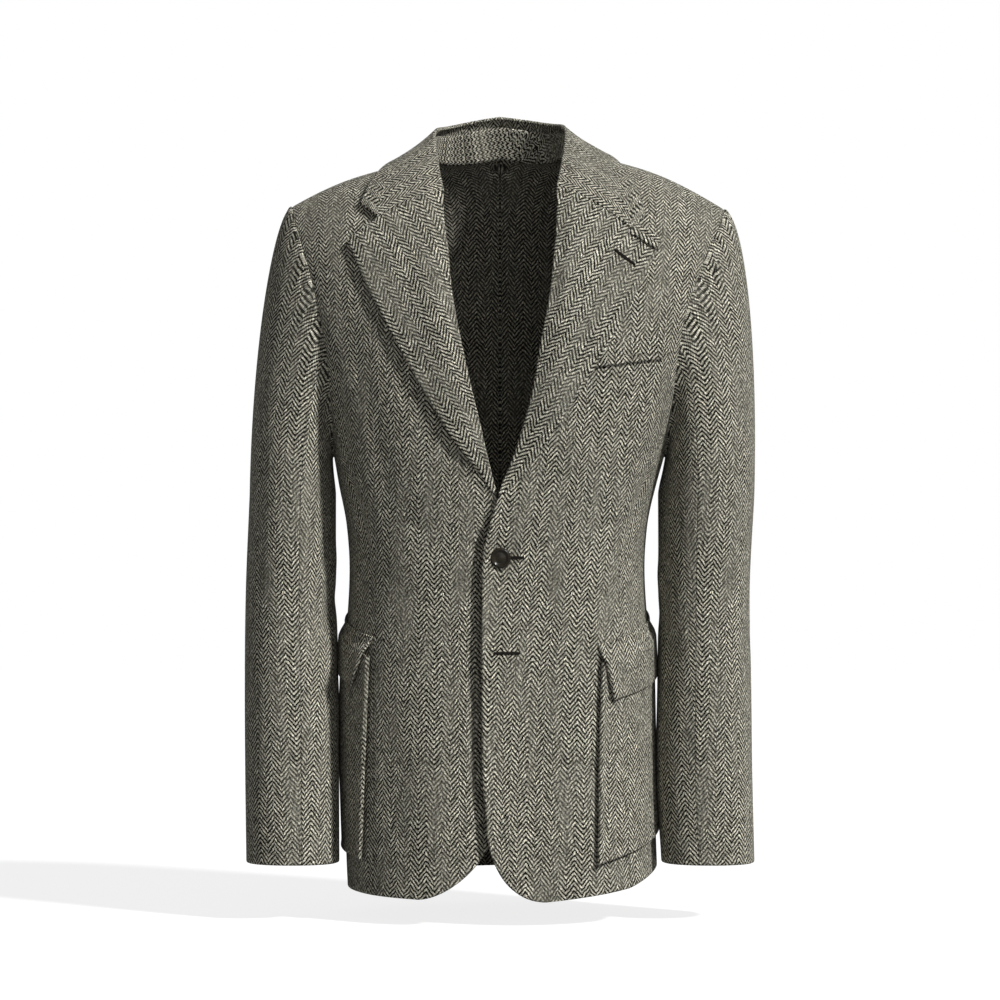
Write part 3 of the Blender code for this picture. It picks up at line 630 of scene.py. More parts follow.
class Paint:
    """A material under construction: one Principled shader and the nodes that feed it."""

    def __init__(self, name: str) -> None:
        """Starts the material with an empty node tree and its output."""
        self.material = bpy.data.materials.new(name)
        self.material.use_nodes = True
        self.tree = self.material.node_tree
        self.tree.nodes.clear()
        self.shader = self.tree.nodes.new("ShaderNodeBsdfPrincipled")
        output = self.tree.nodes.new("ShaderNodeOutputMaterial")
        self.tree.links.new(self.shader.outputs[0], output.inputs["Surface"])

    def node(self, kind: str, settings: dict[str, Any] | None = None, **sockets: Any) -> bpy.types.Node:
        """Adds a node.

        Args:
            kind: The node's type.
            settings: Its own settings, set first.
            **sockets: Values or links of its sockets; an underscore stands for a space.

        Returns:
            The node.
        """
        made = self.tree.nodes.new(kind)
        for key, item in (settings or {}).items():
            setattr(made, key, item)
        for key, item in sockets.items():
            set_socket(self.tree, made.inputs[key.replace("_", " ")], item)
        return made

    def value(self, socket: bpy.types.NodeSocket) -> Value:
        """Wraps a socket for maths."""
        return Value(self.tree, socket)

    def join(self, x: Any, y: Any, z: Any = 0.0) -> bpy.types.NodeSocket:
        """One vector from three numbers."""
        return self.node("ShaderNodeCombineXYZ", X=x, Y=y, Z=z).outputs[0]

    def noise(self, vector: Any, scale: float, detail: float = 2.0, rough: float = 0.5) -> Value:
        """Smooth noise from 0 to 1 over a vector."""
        sockets = {"Vector": vector, "Scale": scale, "Detail": detail, "Roughness": rough}
        return self.value(self.node("ShaderNodeTexNoise", **sockets).outputs["Fac"])

    def chance(self, number: Any) -> Value:
        """A number from 0 to 1 by chance, the same for the same whole number."""
        made = self.node("ShaderNodeTexWhiteNoise", {"noise_dimensions": "1D"}, W=number)
        return self.value(made.outputs["Value"])

    def blend(self, share: Any, one: Any, two: Any) -> bpy.types.NodeSocket:
        """One colour into another by a share."""
        made = self.tree.nodes.new("ShaderNodeMix")
        made.data_type, made.clamp_factor = "RGBA", True
        set_socket(self.tree, made.inputs[0], share)
        set_socket(self.tree, made.inputs[6], one)
        set_socket(self.tree, made.inputs[7], two)
        return made.outputs[2]

    def brighten(self, colour: Any, by: Any) -> bpy.types.NodeSocket:
        """A colour times a number."""
        made = self.node("ShaderNodeVectorMath", {"operation": "SCALE"})
        set_socket(self.tree, made.inputs[0], colour)
        set_socket(self.tree, made.inputs["Scale"], by)
        return made.outputs[0]

    def bump(self, height: Value, strength: float, distance: float) -> None:
        """Feeds a height to the shader's normal through a Bump node."""
        made = self.node("ShaderNodeBump", None, Strength=strength, Distance=distance, Height=height)
        self.tree.links.new(made.outputs[0], self.shader.inputs["Normal"])

    def set(self, **sockets: Any) -> None:
        """Sets or links the shader's own sockets; an underscore stands for a space."""
        for key, item in sockets.items():
            set_socket(self.tree, self.shader.inputs[key.replace("_", " ")], item)


@dataclass(frozen=True)
class Tweed:
    """Herringbone tweed, charted end by end: cream warp over near-black weft, in 2/2 twill.

    Each column of the pattern is so many warp ends wide, and the twill line turns back at its
    edge.  A warp end floats over two picks and dives under two, one pick later than its neighbour.
    """

    column: float = 8.0          # width of one column
    ends: int = 8                # warp ends in a column
    pick: float = 1.22           # height of one pick
    cream: tuple[float, ...] = (0.90, 0.87, 0.735, 1)
    oat: tuple[float, ...] = (0.42, 0.40, 0.31, 1)
    soot: tuple[float, ...] = (0.004, 0.0037, 0.0022, 1)
    moss: tuple[float, ...] = (0.018, 0.017, 0.010, 1)

    def make(self) -> bpy.types.Material:
        """Builds the cloth's material on the flat coordinates."""
        paint = Paint("herringbone_tweed")
        uv = paint.node("ShaderNodeUVMap", {"uv_map": FLAT}).outputs[0]
        apart = paint.node("ShaderNodeSeparateXYZ", None, Vector=uv)
        wander = paint.noise(uv, 60.0, 2.0, 0.6) - 0.5
        waver = paint.noise(uv, 150.0, 3.0, 0.7) - 0.5
        across = paint.value(apart.outputs["X"]) * (1 / MM) + wander * 3.0
        up = paint.value(apart.outputs["Y"]) * (1 / MM) + waver * 4.2

        columns = across / self.column
        number = columns.floor()
        odd = (number * 0.5).fract() * 2.0
        inside = columns.fract()
        zigzag = inside * (1 - odd) + (1 - inside) * odd
        end = zigzag * float(self.ends)
        end_number = end.floor()
        slip = (paint.chance(number) - 0.5) * 3.4
        twill = (up / self.pick - end_number + slip) * 0.25
        over = (twill.fract().sine(1.0) * 2.6 + 0.10).clamp()
        round_end = end.fract().sine(0.5)
        round_pick = (up / self.pick).fract().sine(0.5)

        end_id = number * float(self.ends) + end_number
        each = paint.chance(end_id + twill.floor() * 7.31)
        slub = paint.noise(paint.join(end_id * 3.7, up * 0.09), 1.0, 2.0, 0.6)
        pick_id = (up / self.pick).floor()
        weft_slub = paint.noise(paint.join(across * 0.07, pick_id * 2.9, 5.0), 1.0, 2.0, 0.6)
        cloudy = paint.noise(uv, 55.0, 3.0, 0.6)
        fuzz = (paint.noise(uv, 760.0, 3.0, 0.8) * 3.0 - 1.0).clamp()

        warp = paint.blend((slub * 2.6 - 0.75).clamp(), self.oat, self.cream)
        weft = paint.blend((weft_slub * 2.4 - 0.8).clamp(), self.soot, self.moss)
        felted = paint.noise(paint.join(across * 0.045, up * 0.010, 9.0), 1.0, 3.0, 0.6)
        blur = (felted * 4.4 - 2.1).clamp() * 0.68
        # Each warp end is painted darker towards its sides: painted shade of the yarn's round form.
        tone = over * (0.72 + 0.28 * round_end)
        tone = tone + (0.33 - tone) * blur
        broken = (paint.noise(uv, 520.0, 2.0, 0.7) * 4.6 - 1.5).clamp()
        tone = tone * (0.28 + 0.72 * broken)
        cloth = paint.blend(tone, weft, warp)
        shade = (0.30 + 1.00 * fuzz + 0.36 * cloudy) * (0.56 + 0.94 * each)
        paint.set(Base_Color=paint.brighten(cloth, shade), Roughness=0.92)
        paint.set(Specular_IOR_Level=0.15, Sheen_Weight=0.07, Sheen_Roughness=0.45)
        paint.set(Sheen_Tint=(0.9, 0.87, 0.78, 1))
        height = over * (0.5 + 0.5 * round_end) + (1 - over) * round_pick * 0.6 + fuzz * 0.5
        paint.bump(height, 0.45, 0.0004)
        return paint.material


@dataclass(frozen=True)
class Thread:
    """Waxed silk twist, dark brown, ribbed along its own turns."""

    colour: tuple[float, ...] = (0.004, 0.0032, 0.002, 1)
    worn: tuple[float, ...] = (0.018, 0.014, 0.009, 1)

    def make(self) -> bpy.types.Material:
        """Builds the thread's material."""
        paint = Paint("silk_twist")
        place = paint.node("ShaderNodeTexCoord").outputs["Object"]
        fleck = paint.noise(place, 1500.0, 2.0)
        paint.set(Base_Color=paint.blend(fleck, self.colour, self.worn), Roughness=0.7)
        paint.set(Specular_IOR_Level=0.2)
        paint.bump(fleck, 0.3, 0.0002)
        return paint.material


@dataclass(frozen=True)
class Horn:
    """Polished dark horn: brown clouds and fine streaks under a gloss."""

    dark: tuple[float, ...] = (0.004, 0.003, 0.002, 1)
    brown: tuple[float, ...] = (0.030, 0.024, 0.013, 1)

    def make(self) -> bpy.types.Material:
        """Builds the horn's material."""
        paint = Paint("dark_horn")
        place = paint.node("ShaderNodeTexCoord").outputs["Object"]
        stretched = paint.node("ShaderNodeMapping", None, Vector=place, Scale=(1.0, 1.0, 3.5))
        clouds = paint.noise(stretched.outputs[0], 130.0, 4.0, 0.6)
        streaks = paint.noise(stretched.outputs[0], 700.0, 2.0)
        share = (clouds * 2.2 - 0.75 + streaks * 0.3).clamp()
        paint.set(Base_Color=paint.blend(share, self.dark, self.brown))
        paint.set(Roughness=0.22 + 0.12 * streaks)
        paint.set(Specular_IOR_Level=0.35, Coat_Weight=0.15, Coat_Roughness=0.12)
        paint.bump(streaks, 0.12, 0.0002)
        return paint.material


@dataclass(frozen=True)
class PaleFloor:
    """A plain white studio floor that glows to the camera only, so that it hardly lights the cloth."""

    colour: tuple[float, ...] = (0.32, 0.32, 0.32, 1)
    glow: float = 0.82

    def make(self) -> bpy.types.Material:
        """Builds the floor's material."""
        paint = Paint("studio_floor")
        paint.set(Base_Color=self.colour, Roughness=0.9, Specular_IOR_Level=0.1)
        seen = paint.node("ShaderNodeLightPath").outputs["Is Camera Ray"]
        paint.set(Emission_Color=seen, Emission_Strength=self.glow)
        return paint.material


@dataclass
class Finishes:
    """Every finish that the jacket's pieces share."""

    tweed: bpy.types.Material = field(default_factory=lambda: Tweed().make())
    thread: bpy.types.Material = field(default_factory=lambda: Thread().make())
    horn: bpy.types.Material = field(default_factory=lambda: Horn().make())


# ---------------------------------------------------------------- body panels


@dataclass(frozen=True)
class Edges:
    """One side's own places: the front edge, roll line and lapel edge, and the tips of the notch."""

    front: tuple[tuple[float, float], ...]
    roll: tuple[tuple[float, float], ...]
    lapel: tuple[tuple[float, float], ...]
    notch: tuple[float, float]
    collar_tip: tuple[float, float]
    lapel_tip: tuple[float, float]
    corner_end: float
    corner_power: float
    hem_front: float
    hem_side: float
    shoulder_tip: float


EDGES = {
    Side.RIGHT: Edges(
        front=((-660, 2), (-620, -10), (-560, -17), (-450, -18), (-400, -16), (-375, -10), (-347, 3)),
        roll=((-347, 3), (-303, 14.5), (-243, 29), (-197, 39), (-146, 48), (-109, 51.5), (-76, 56),
              (-46, 56.7)),
        lapel=((-347, 6), (-326, 19), (-293, 44.5), (-242, 75), (-188, 105), (-141, 129), (-96, 149)),
        notch=(119, -75), collar_tip=(137, -61), lapel_tip=(149, -96),
        corner_end=80, corner_power=1.65, hem_front=-739, hem_side=-735, shoulder_tip=207,
    ),
    Side.LEFT: Edges(
        front=((-660, -14), (-620, -17.5), (-560, -18), (-450, -18), (-400, -16.5), (-375, -11),
               (-347, -2)),
        roll=((-347, -2), (-303, 16), (-243, 33), (-197, 41), (-146, 50), (-109, 54), (-76, 56.5),
              (-46, 56.7)),
        lapel=((-347, 3), (-326, 21), (-293, 44), (-242, 76), (-188, 107), (-141, 131), (-96, 153)),
        notch=(128, -89), collar_tip=(142, -72), lapel_tip=(152, -107),
        corner_end=45, corner_power=2.1, hem_front=-741, hem_side=-715, shoulder_tip=223,
    ),
}


@dataclass
class Body:
    """The six body panels, cut from the torso surface along shared seams, with their soft folds."""

    torso: Torso
    finishes: Finishes
    hem_back: float = -728.0
    corner_top: float = -660.0
    break_level: float = -347.0
    gorge_level: float = -46.0
    gorge_turn: float = 128.0
    underarm_front: float = -268.0
    underarm_back: float = -215.0
    underarm_dip: float = -62.5
    lap_lift: float = 5.0        # how far the over front stands off the under front
    lap_flat: float = 14.0
    lap_end: float = 60.0
    lip_lift: float = 4.0        # more, right at the over front's edge
    under_sink: float = 4.5      # the under front is pressed in below that edge
    bulge: float = 2.2           # over the hidden button
    hidden_button: float = -498.0
    upper_button: float = -406.0
    button_press: float = 2.4    # how far the fastened button holds the lap in
    fold_turn: float = 2.6       # millimetres of cloth to a degree round the torso
    seam_roll: float = 0.9
    edge_roll: float = 2.0
    armholes: Table = field(default_factory=lambda: Table("level front back", (
        (-304, 90, 90), (-296, 82, 99), (-268, 72, 109), (-241, 66, 115), (-215, 62, 119),
        (-164, 58.5, 121.5), (-107, 59.5, 120.5), (-60, 62, 118),
    )))
    side_seams: Table = field(default_factory=lambda: Table("level front back", (
        (-745, 51, 120), (-500, 50, 121), (-400, 51, 122), (-330, 57, 121),
        (-268, 72, 119.5), (-215, 78, 119),
    )))
    grain: Table = field(default_factory=lambda: Table("level shift", (   # lean of the left front's weave
        (-745, 0), (-500, 8), (-400, 20), (-250, 36), (-50, 44),
    )))
    # First coordinate: degrees from the centre front times fold_turn; second: level.
    creases: dict[Side, tuple[Crease, ...]] = field(default_factory=lambda: {
        Side.RIGHT: Crease.table((
            (150, -120, 128, -420, 15, 2.2, 6), (120, -150, 104, -380, 17, -1.6, 5),
            (168, -270, 140, -430, 10, -2.0, -4), (10, -400, 120, -330, 16, -1.3, 8),
            (20, -420, 130, -395, 14, 1.0, 5), (60, -520, 45, -735, 26, 1.8, 4),
            (112, -500, 98, -735, 20, -1.6, 3), (250, -300, 300, -470, 22, -2.6, 8),
            (300, -250, 330, -420, 24, 2.0, -8), (400, -180, 380, -420, 30, 2.2, 10),
            (350, -330, 455, -395, 15, -2.2, 6), (345, -375, 450, -420, 13, 1.8, 5),
            (360, -480, 350, -725, 26, -2.2, 6), (430, -470, 425, -725, 28, 2.4, -5),
            (240, -480, 235, -730, 24, 1.6, 5),
        )),
        Side.LEFT: Crease.table((
            (150, -130, 122, -400, 16, 1.8, 5), (122, -190, 100, -420, 16, -1.5, 6),
            (166, -290, 138, -440, 10, -1.8, -5), (15, -395, 115, -350, 15, -1.2, 6),
            (12, -430, 110, -455, 18, 1.0, -5), (70, -540, 60, -735, 24, 1.5, -4),
            (105, -520, 110, -735, 20, -1.3, 4), (255, -310, 295, -480, 20, -2.4, 7),
            (305, -240, 325, -430, 26, 2.2, -6), (405, -200, 395, -400, 28, 1.8, 8),
            (360, -350, 458, -380, 14, -2.0, 5), (350, -400, 455, -430, 14, 1.6, -4),
            (375, -500, 362, -725, 24, -2.0, 5), (440, -480, 438, -725, 26, 2.2, 5),
            (245, -490, 242, -725, 22, 1.4, -5),
        )),
    })

    def hem(self, side: Side, turn: Number) -> Array:
        """Level of the hem: eased from the front to the side, and from there to the back."""
        edges = EDGES[side]
        to_side, to_back = ease((turn - 20) / 70), ease((turn - 90) / 80)
        rise = (edges.hem_side - edges.hem_front) * to_side
        return edges.hem_front + rise + (self.hem_back - edges.hem_side) * to_back

    def rows(self, top: float = 23.0, pace: float = 1.0) -> Array:
        """Row numbers up a panel: 4 ends the hem corner, 12 the front edge, 14 the side seam."""
        parts = (
            np.array([0, 0.02, 0.045, 0.09, 0.14]),
            np.linspace(0.2, 4, int(22 * pace)),
            np.linspace(4, 12, int(88 * pace))[1:],
            np.linspace(12, 14, int(22 * pace))[1:],
        )
        low = np.concatenate(parts)
        if top <= 14:
            return low
        high = np.concatenate([np.linspace(14, 22.4, int(52 * pace))[1:], [22.6, 22.75, 22.88, 22.95, 23]])
        return np.concatenate([low, high])

    def outer_place(self, side: Side, row: Array, half: Half) -> tuple[Array, Array]:
        """The outer edge of a front or back: the side seam, then the armhole up to the shoulder tip.

        Args:
            side: The wearer's side.
            row: Row numbers.
            half: Front or back.

        Returns:
            Angle round the torso and level for each row.
        """
        name = half.value
        seam_top = self.underarm_front if half is Half.FRONT else self.underarm_back
        hem = self.hem(side, 51.0 if half is Half.FRONT else 120.0)
        level = np.interp(row, (0, 4, 12, 14), (hem, -655, -340, seam_top))
        seam = self.side_seams.read(name, level)
        rise = np.sin(np.radians(90 * np.clip((row - 14) / 9, 0, 1)))
        tip = EDGES[side].shoulder_tip
        tip_level = self.torso.shoulder(side, tip)
        tip_turn = self.torso.turn_at(side, tip, tip_level)
        tip_turn = tip_turn if half is Half.FRONT else 180 - tip_turn
        arm_level = seam_top + rise * (tip_level - seam_top)
        arm = self.armholes.read(name, arm_level)
        arm = arm + (tip_turn - arm) * ease((rise - 0.8) / 0.2)
        arm = arm + (self.side_seams.read(name, seam_top) - self.armholes.read(name, seam_top)) * (1 - rise)
        above = row > 14
        return np.where(above, arm, seam), np.where(above, arm_level, level)

    def front_inner_place(self, side: Side, row: Array) -> tuple[Array, Array]:
        """The inner edge of a front: round hem corner, front edge, roll line, then the neck seam.

        The corner is a quarter of a superellipse.

        Args:
            side: The wearer's side.
            row: Row numbers.

        Returns:
            Angle round the torso and level for each row.
        """
        edges = EDGES[side]
        front, roll = Table("level across", edges.front), Table("level across", edges.roll)
        start = front.read("across", self.corner_top)
        angle = np.radians(90 * np.clip(1 - row / 4, 0, 1))
        power = 2 / edges.corner_power
        corner = edges.corner_end - (edges.corner_end - start) * np.cos(angle) ** power
        corner_level = self.corner_top + (edges.hem_front - self.corner_top) * np.sin(angle) ** power
        edge_level = np.interp(row, (4, 12), (self.corner_top, self.break_level))
        roll_level = np.interp(row, (12, 20), (self.break_level, self.gorge_level))
        below = [row < 4, row < 12]
        across = np.select(below, [corner, front.read("across", edge_level)], roll.read("across", roll_level))
        level = np.select(below, [corner_level, edge_level], roll_level)
        turn = self.torso.turn_at(side, across, level)
        neck_turn = np.interp(row, (20, 23), (self.gorge_turn, 90))
        at_neck, neck_level = self.torso.neck_place(side, neck_turn, Half.FRONT)
        return np.where(row >= 20, at_neck, turn), np.where(row >= 20, neck_level, level)

    def back_inner_place(self, side: Side, row: Array) -> tuple[Array, Array]:
        """The inner edge of a back: the centre seam, then the neck seam."""
        neck_turn = np.interp(row, (19, 23), (0, 90))
        at_neck, neck_level = self.torso.neck_place(side, neck_turn, Half.BACK)
        top = self.torso.neck_place(side, np.array(0.0), Half.BACK)[1]
        level = np.interp(row, (0, 4, 12, 19), (self.hem(side, 170.0), -655, -340, top))
        return np.where(row > 19, at_neck, 180.0), np.where(row > 19, neck_level, level)

    def spread(self, side: Side, row: Array, share: Array, inner: tuple, outer: tuple) -> tuple[Array, Array]:
        """Angles and levels from an inner to an outer edge; the last row lies on the shoulder line."""
        turn = inner[0][:, None] + (outer[0] - inner[0])[:, None] * share
        level = inner[1][:, None] + (outer[1] - inner[1])[:, None] * share
        shoulder = level[-1]
        for _ in range(12):
            shoulder = self.torso.shoulder(side, self.torso.at(side, turn[-1], shoulder)[:, 0])
        rise = ease((row - 14) / 9) ** 2
        return turn, level + rise[:, None] * (shoulder - level[-1])

    def lift(self, side: Side, points: Array) -> Array:
        """How far a front stands off the torso beside the closing.

        The over front is lifted along its lap, more at its very edge and over the hidden button;
        the under front is pressed in below that edge.

        Args:
            side: The wearer's side.
            points: Places on the torso.

        Returns:
            Millimetres outwards.
        """
        across, level = points[..., 0], points[..., 2]
        closed = ease((self.break_level + 55 - level) / 75)
        edge = Table("level across", EDGES[Side.LEFT].front)
        from_edge = across - edge.read("across", level)
        if side is Side.RIGHT:
            return -self.under_sink * bell(from_edge - 1, 9.0) * ease((self.break_level - 8 - level) / 40)
        lap = 1 - ease((from_edge - self.lap_flat) / (self.lap_end - self.lap_flat))
        lip = self.lip_lift * bell(np.maximum(from_edge, 0), 9.0)
        button = bell(np.hypot(across, level - self.hidden_button), 30.0)
        at_button = bell(np.hypot(across - 2, level - self.upper_button), 17.0)
        return closed * (lap * (self.lap_lift + self.bulge * button) + lip - self.button_press * at_button)

    def surface(self, side: Side, turn: Array, level: Array, out: Number) -> Array:
        """Points on the torso with its folds, moved out by so much."""
        base = self.torso.at(side, turn, level)
        normal = self.torso.normal(side, turn, level)
        fade = ease((-60 - level) / 60)
        raised = folds(self.creases[side], turn * self.fold_turn, level) * fade
        return base + normal * np.asarray(raised + out)[..., None]

    def face(self, side: Side, turn: Array, level: Array, out: Number) -> Array:
        """Points above the front as it lies: its folds, its lap, and so much more."""
        return self.surface(side, turn, level, self.lift(side, self.torso.at(side, turn, level)) + out)

    def rolled(self, base: Array, inner: float) -> Array:
        """The drop beside a panel's edges: seams at its top and outer edge, a hem, and the inner."""
        radii = {"inner": inner, "outer": self.seam_roll, "bottom": self.edge_roll, "top": self.seam_roll}
        return turned_edge(edge_distances(base), radii)

    def make_front(self, side: Side) -> None:
        """Builds one front."""
        row = self.rows()
        share = shares(50, 190.0)
        inner, outer = self.front_inner_place(side, row), self.outer_place(side, row, Half.FRONT)
        turn, level = self.spread(side, row, share, inner, outer)
        base = self.torso.at(side, turn, level)
        points = self.face(side, turn, level, -self.rolled(base, self.edge_roll))
        flat = settled(base, lay_flat(base, 0, side.value * base[:, 0, 0], level[0]))
        if side is Side.LEFT:
            flat[..., 0] -= self.grain.read("shift", level)
        Piece.dress(f"front_{side.word}", points, flat, self.finishes.tweed, side is Side.RIGHT,
                    "hung", [f"back_{side.word}"])

    def make_back(self, side: Side) -> None:
        """Builds one back."""
        row = self.rows()
        share = shares(44, 170.0)
        inner, outer = self.back_inner_place(side, row), self.outer_place(side, row, Half.BACK)
        turn, level = self.spread(side, row, share, inner, outer)
        base = self.torso.at(side, turn, level)
        points = self.surface(side, turn, level, -self.rolled(base, self.seam_roll))
        flat = settled(base, lay_flat(base, 0, 0.0 * row, level[0]))
        Piece.dress(f"back_{side.word}", points, flat, self.finishes.tweed, side is Side.LEFT,
                    "hung", ["collar_stand"])

    def side_top(self, side: Side, share: Array) -> tuple[Array, Array]:
        """The underarm edge of the side panel, as angle and level: a dip between the two seams."""
        row = np.array([14.0])
        front, back = self.outer_place(side, row, Half.FRONT), self.outer_place(side, row, Half.BACK)
        turn = front[0] + (back[0] - front[0]) * share
        level = front[1] + (back[1] - front[1]) * share
        return turn, level + self.underarm_dip * np.sin(math.pi * np.clip(share, 0, 1)) ** 0.8

    def make_side(self, side: Side) -> None:
        """Builds one side panel, from the hem up to the underarm."""
        row = self.rows(top=14.0)
        share = shares(34, 140.0)
        front, back = self.outer_place(side, row, Half.FRONT), self.outer_place(side, row, Half.BACK)
        turn = front[0][:, None] + (back[0] - front[0])[:, None] * share
        level = front[1][:, None] + (back[1] - front[1])[:, None] * share
        up = (row / 14)[:, None]
        dip = self.side_top(side, share)[1] - level[-1]
        level = level + (1 - up) ** 3 * (self.hem(side, turn[0]) - level[0]) + up**3 * dip
        base = self.torso.at(side, turn, level)
        points = self.surface(side, turn, level, -self.rolled(base, self.seam_roll))
        middle = len(share) // 2
        flat = lay_flat(base, middle, 0.0 * row, level[0])
        Piece.dress(f"side_{side.word}", points, flat, self.finishes.tweed, side is Side.RIGHT,
                    "hung", [f"back_{side.word}"])

    def make(self) -> None:
        """Builds all six panels."""
        for side in Side:
            self.make_front(side)
            self.make_back(side)
            self.make_side(side)


# ---------------------------------------------------------------- sleeves


@dataclass
class Sleeves:
    """Two-piece sleeves: a full head hung from the armhole, then a tube that leans forward."""

    body: Body
    finishes: Finishes
    ring_level: float = -345.0
    roundness: float = 2.2
    head_slope: float = 0.45
    rope: float = 0.9            # the seam allowance's ridge round the sleeve's head
    head_reach: dict[Side, float] = field(default_factory=lambda: {Side.RIGHT: 12.0, Side.LEFT: 16.0})
    head_out: dict[Side, float] = field(default_factory=lambda: {Side.RIGHT: -3.0, Side.LEFT: 4.0})
    seam_front: float = 102.0    # degrees round the sleeve from its outer line, the front way
    seam_back: float = 320.0
    cuff: float = -709.0
    rings: Table = field(default_factory=lambda: Table(
        "level right_middle right_half left_middle left_half forward half_depth", (
            (-709, 205.4, 46.1, 206.2, 46.1, 34, 45), (-620, 206.4, 46.6, 202.8, 47.7, 28, 49),
            (-530, 207.2, 46.8, 203.3, 46.7, 18, 55), (-440, 208.5, 45, 203.5, 45.5, 8, 61),
            (-345, 207, 43, 206, 48, 2, 69),
        )))
    # First coordinate: degrees round the sleeve times 0.9; second: level.
    creases: dict[Side, tuple[Crease, ...]] = field(default_factory=lambda: {
        Side.RIGHT: Crease.table((
            (150, -200, 130, -520, 11, -1.8, 6), (100, -150, 88, -420, 14, 1.6, 5),
            (60, -130, 62, -330, 14, -1.2, 3), (185, -440, 95, -500, 12, -2.2, 6),
            (180, -400, 110, -450, 11, 1.4, 5), (178, -500, 90, -560, 13, -1.8, -6),
            (240, -430, 200, -560, 13, 1.6, 5), (60, -560, 50, -705, 20, 1.4, 4),
            (110, -540, 104, -700, 16, -1.3, 3), (280, -180, 255, -420, 16, 1.8, 6),
        )),
        Side.LEFT: Crease.table((
            (152, -210, 132, -500, 11, -1.8, 5), (98, -160, 84, -400, 14, 1.6, -5),
            (58, -140, 50, -330, 15, -1.2, 3), (180, -455, 100, -520, 12, -2.0, 6),
            (182, -415, 105, -460, 11, 1.5, 4), (10, -470, 60, -520, 14, -1.5, 5),
            (235, -430, 200, -570, 13, 1.6, -5), (55, -570, 60, -705, 18, 1.3, 4),
            (108, -560, 100, -700, 16, -1.4, 3), (285, -190, 258, -430, 16, 1.8, 5),
        )),
    })

    def armhole(self, side: Side) -> Array:
        """Points round the armhole: from the shoulder tip down the front, along and up the back."""
        torso, body = self.body.torso, self.body
        row = np.linspace(14, 23, 90)
        down = torso.at(side, *body.outer_place(side, row[::-1], Half.FRONT))
        along = torso.at(side, *body.side_top(side, np.linspace(0, 1, 50)[1:-1]))
        up = torso.at(side, *body.outer_place(side, row[:-1], Half.BACK))
        return np.concatenate([down, along, up])

    def hang(self, side: Side, turns: Array) -> Array:
        """Where round the armhole each angle of the sleeve is sewn.

        Angles run evenly with the armhole's length from the shoulder tip to its lowest point, and
        evenly again from there back to the tip.

        Args:
            side: The wearer's side.
            turns: Degrees round the sleeve.

        Returns:
            Points on the armhole.
        """
        loop = self.armhole(side)
        closed = np.concatenate([loop, loop[:1]])
        length = run_lengths(closed[None], 1)[0]
        bottom = length[int(np.argmin(loop[:, 2]))]
        turns = np.mod(turns, 360)
        back_share = bottom + (length[-1] - bottom) * (turns - 180) / 180
        place = np.where(turns <= 180, bottom * turns / 180, back_share)
        return np.stack([np.interp(place, length, closed[:, i]) for i in range(3)], -1)

    def ring(self, side: Side, turns: Array, level: Number) -> Array:
        """Points of level rings, each a superellipse."""
        level = np.asarray(level, float)
        wave = [np.sign(w) * np.abs(w) ** (2 / self.roundness) for w in (
            np.cos(np.radians(turns)), np.sin(np.radians(turns)))]
        middle = self.rings.read(f"{side.word}_middle", level)
        across = middle + self.rings.read(f"{side.word}_half", level) * wave[0]
        back = -self.rings.read("forward", level) - self.rings.read("half_depth", level) * wave[1]
        return np.stack(np.broadcast_arrays(side.value * across, back, level), -1)

    def grid(self, side: Side, turns: Array) -> Array:
        """The sleeve from the cuff up to the armhole.

        Each column of the head is a cubic curve from the armhole to the first level ring: it
        leaves outwards and down, and arrives straight up, from further away at the outer side.

        Args:
            side: The wearer's side.
            turns: Degrees round the sleeve, one for each column.

        Returns:
            Rows by columns by 3.
        """
        sewn = self.hang(side, turns)
        outside = 0.5 + 0.5 * np.cos(np.radians(turns))
        follow = outside[:, None] ** 2
        leave = unit(side.value * np.array([1.0, 0, 0]) - self.head_slope * follow * np.array([0, 0, 1.0]))
        start = sewn + leave * (0.15 + 2.0 * follow)
        ring = self.ring(side, turns, self.ring_level)
        out = side.value * self.head_out[side] * outside
        rise = np.stack([out, 0 * outside, 12 + 150 * outside**1.2], -1)
        first = start + leave * (5 + self.head_reach[side] * outside)[:, None]
        t = np.concatenate([[0, 0.008, 0.02, 0.04], np.linspace(0.07, 1, 46)])[:, None, None]
        head = (1 - t) ** 3 * start + 3 * t * (1 - t) ** 2 * first
        head = head + 3 * t * t * (1 - t) * (ring + rise) + t**3 * ring
        long, short = np.linspace(self.ring_level, self.cuff + 3, 86)[1:], np.array([2.2, 1.2, 0.5, 0])
        level = np.concatenate([long, self.cuff + short])
        tube = self.ring(side, turns[None], level[:, None])
        inside = sewn - side.value * np.array([2.5, 0, 0]) - np.array([0, 0, 1.5]) * follow
        return np.concatenate([inside[None], head, tube])[::-1]

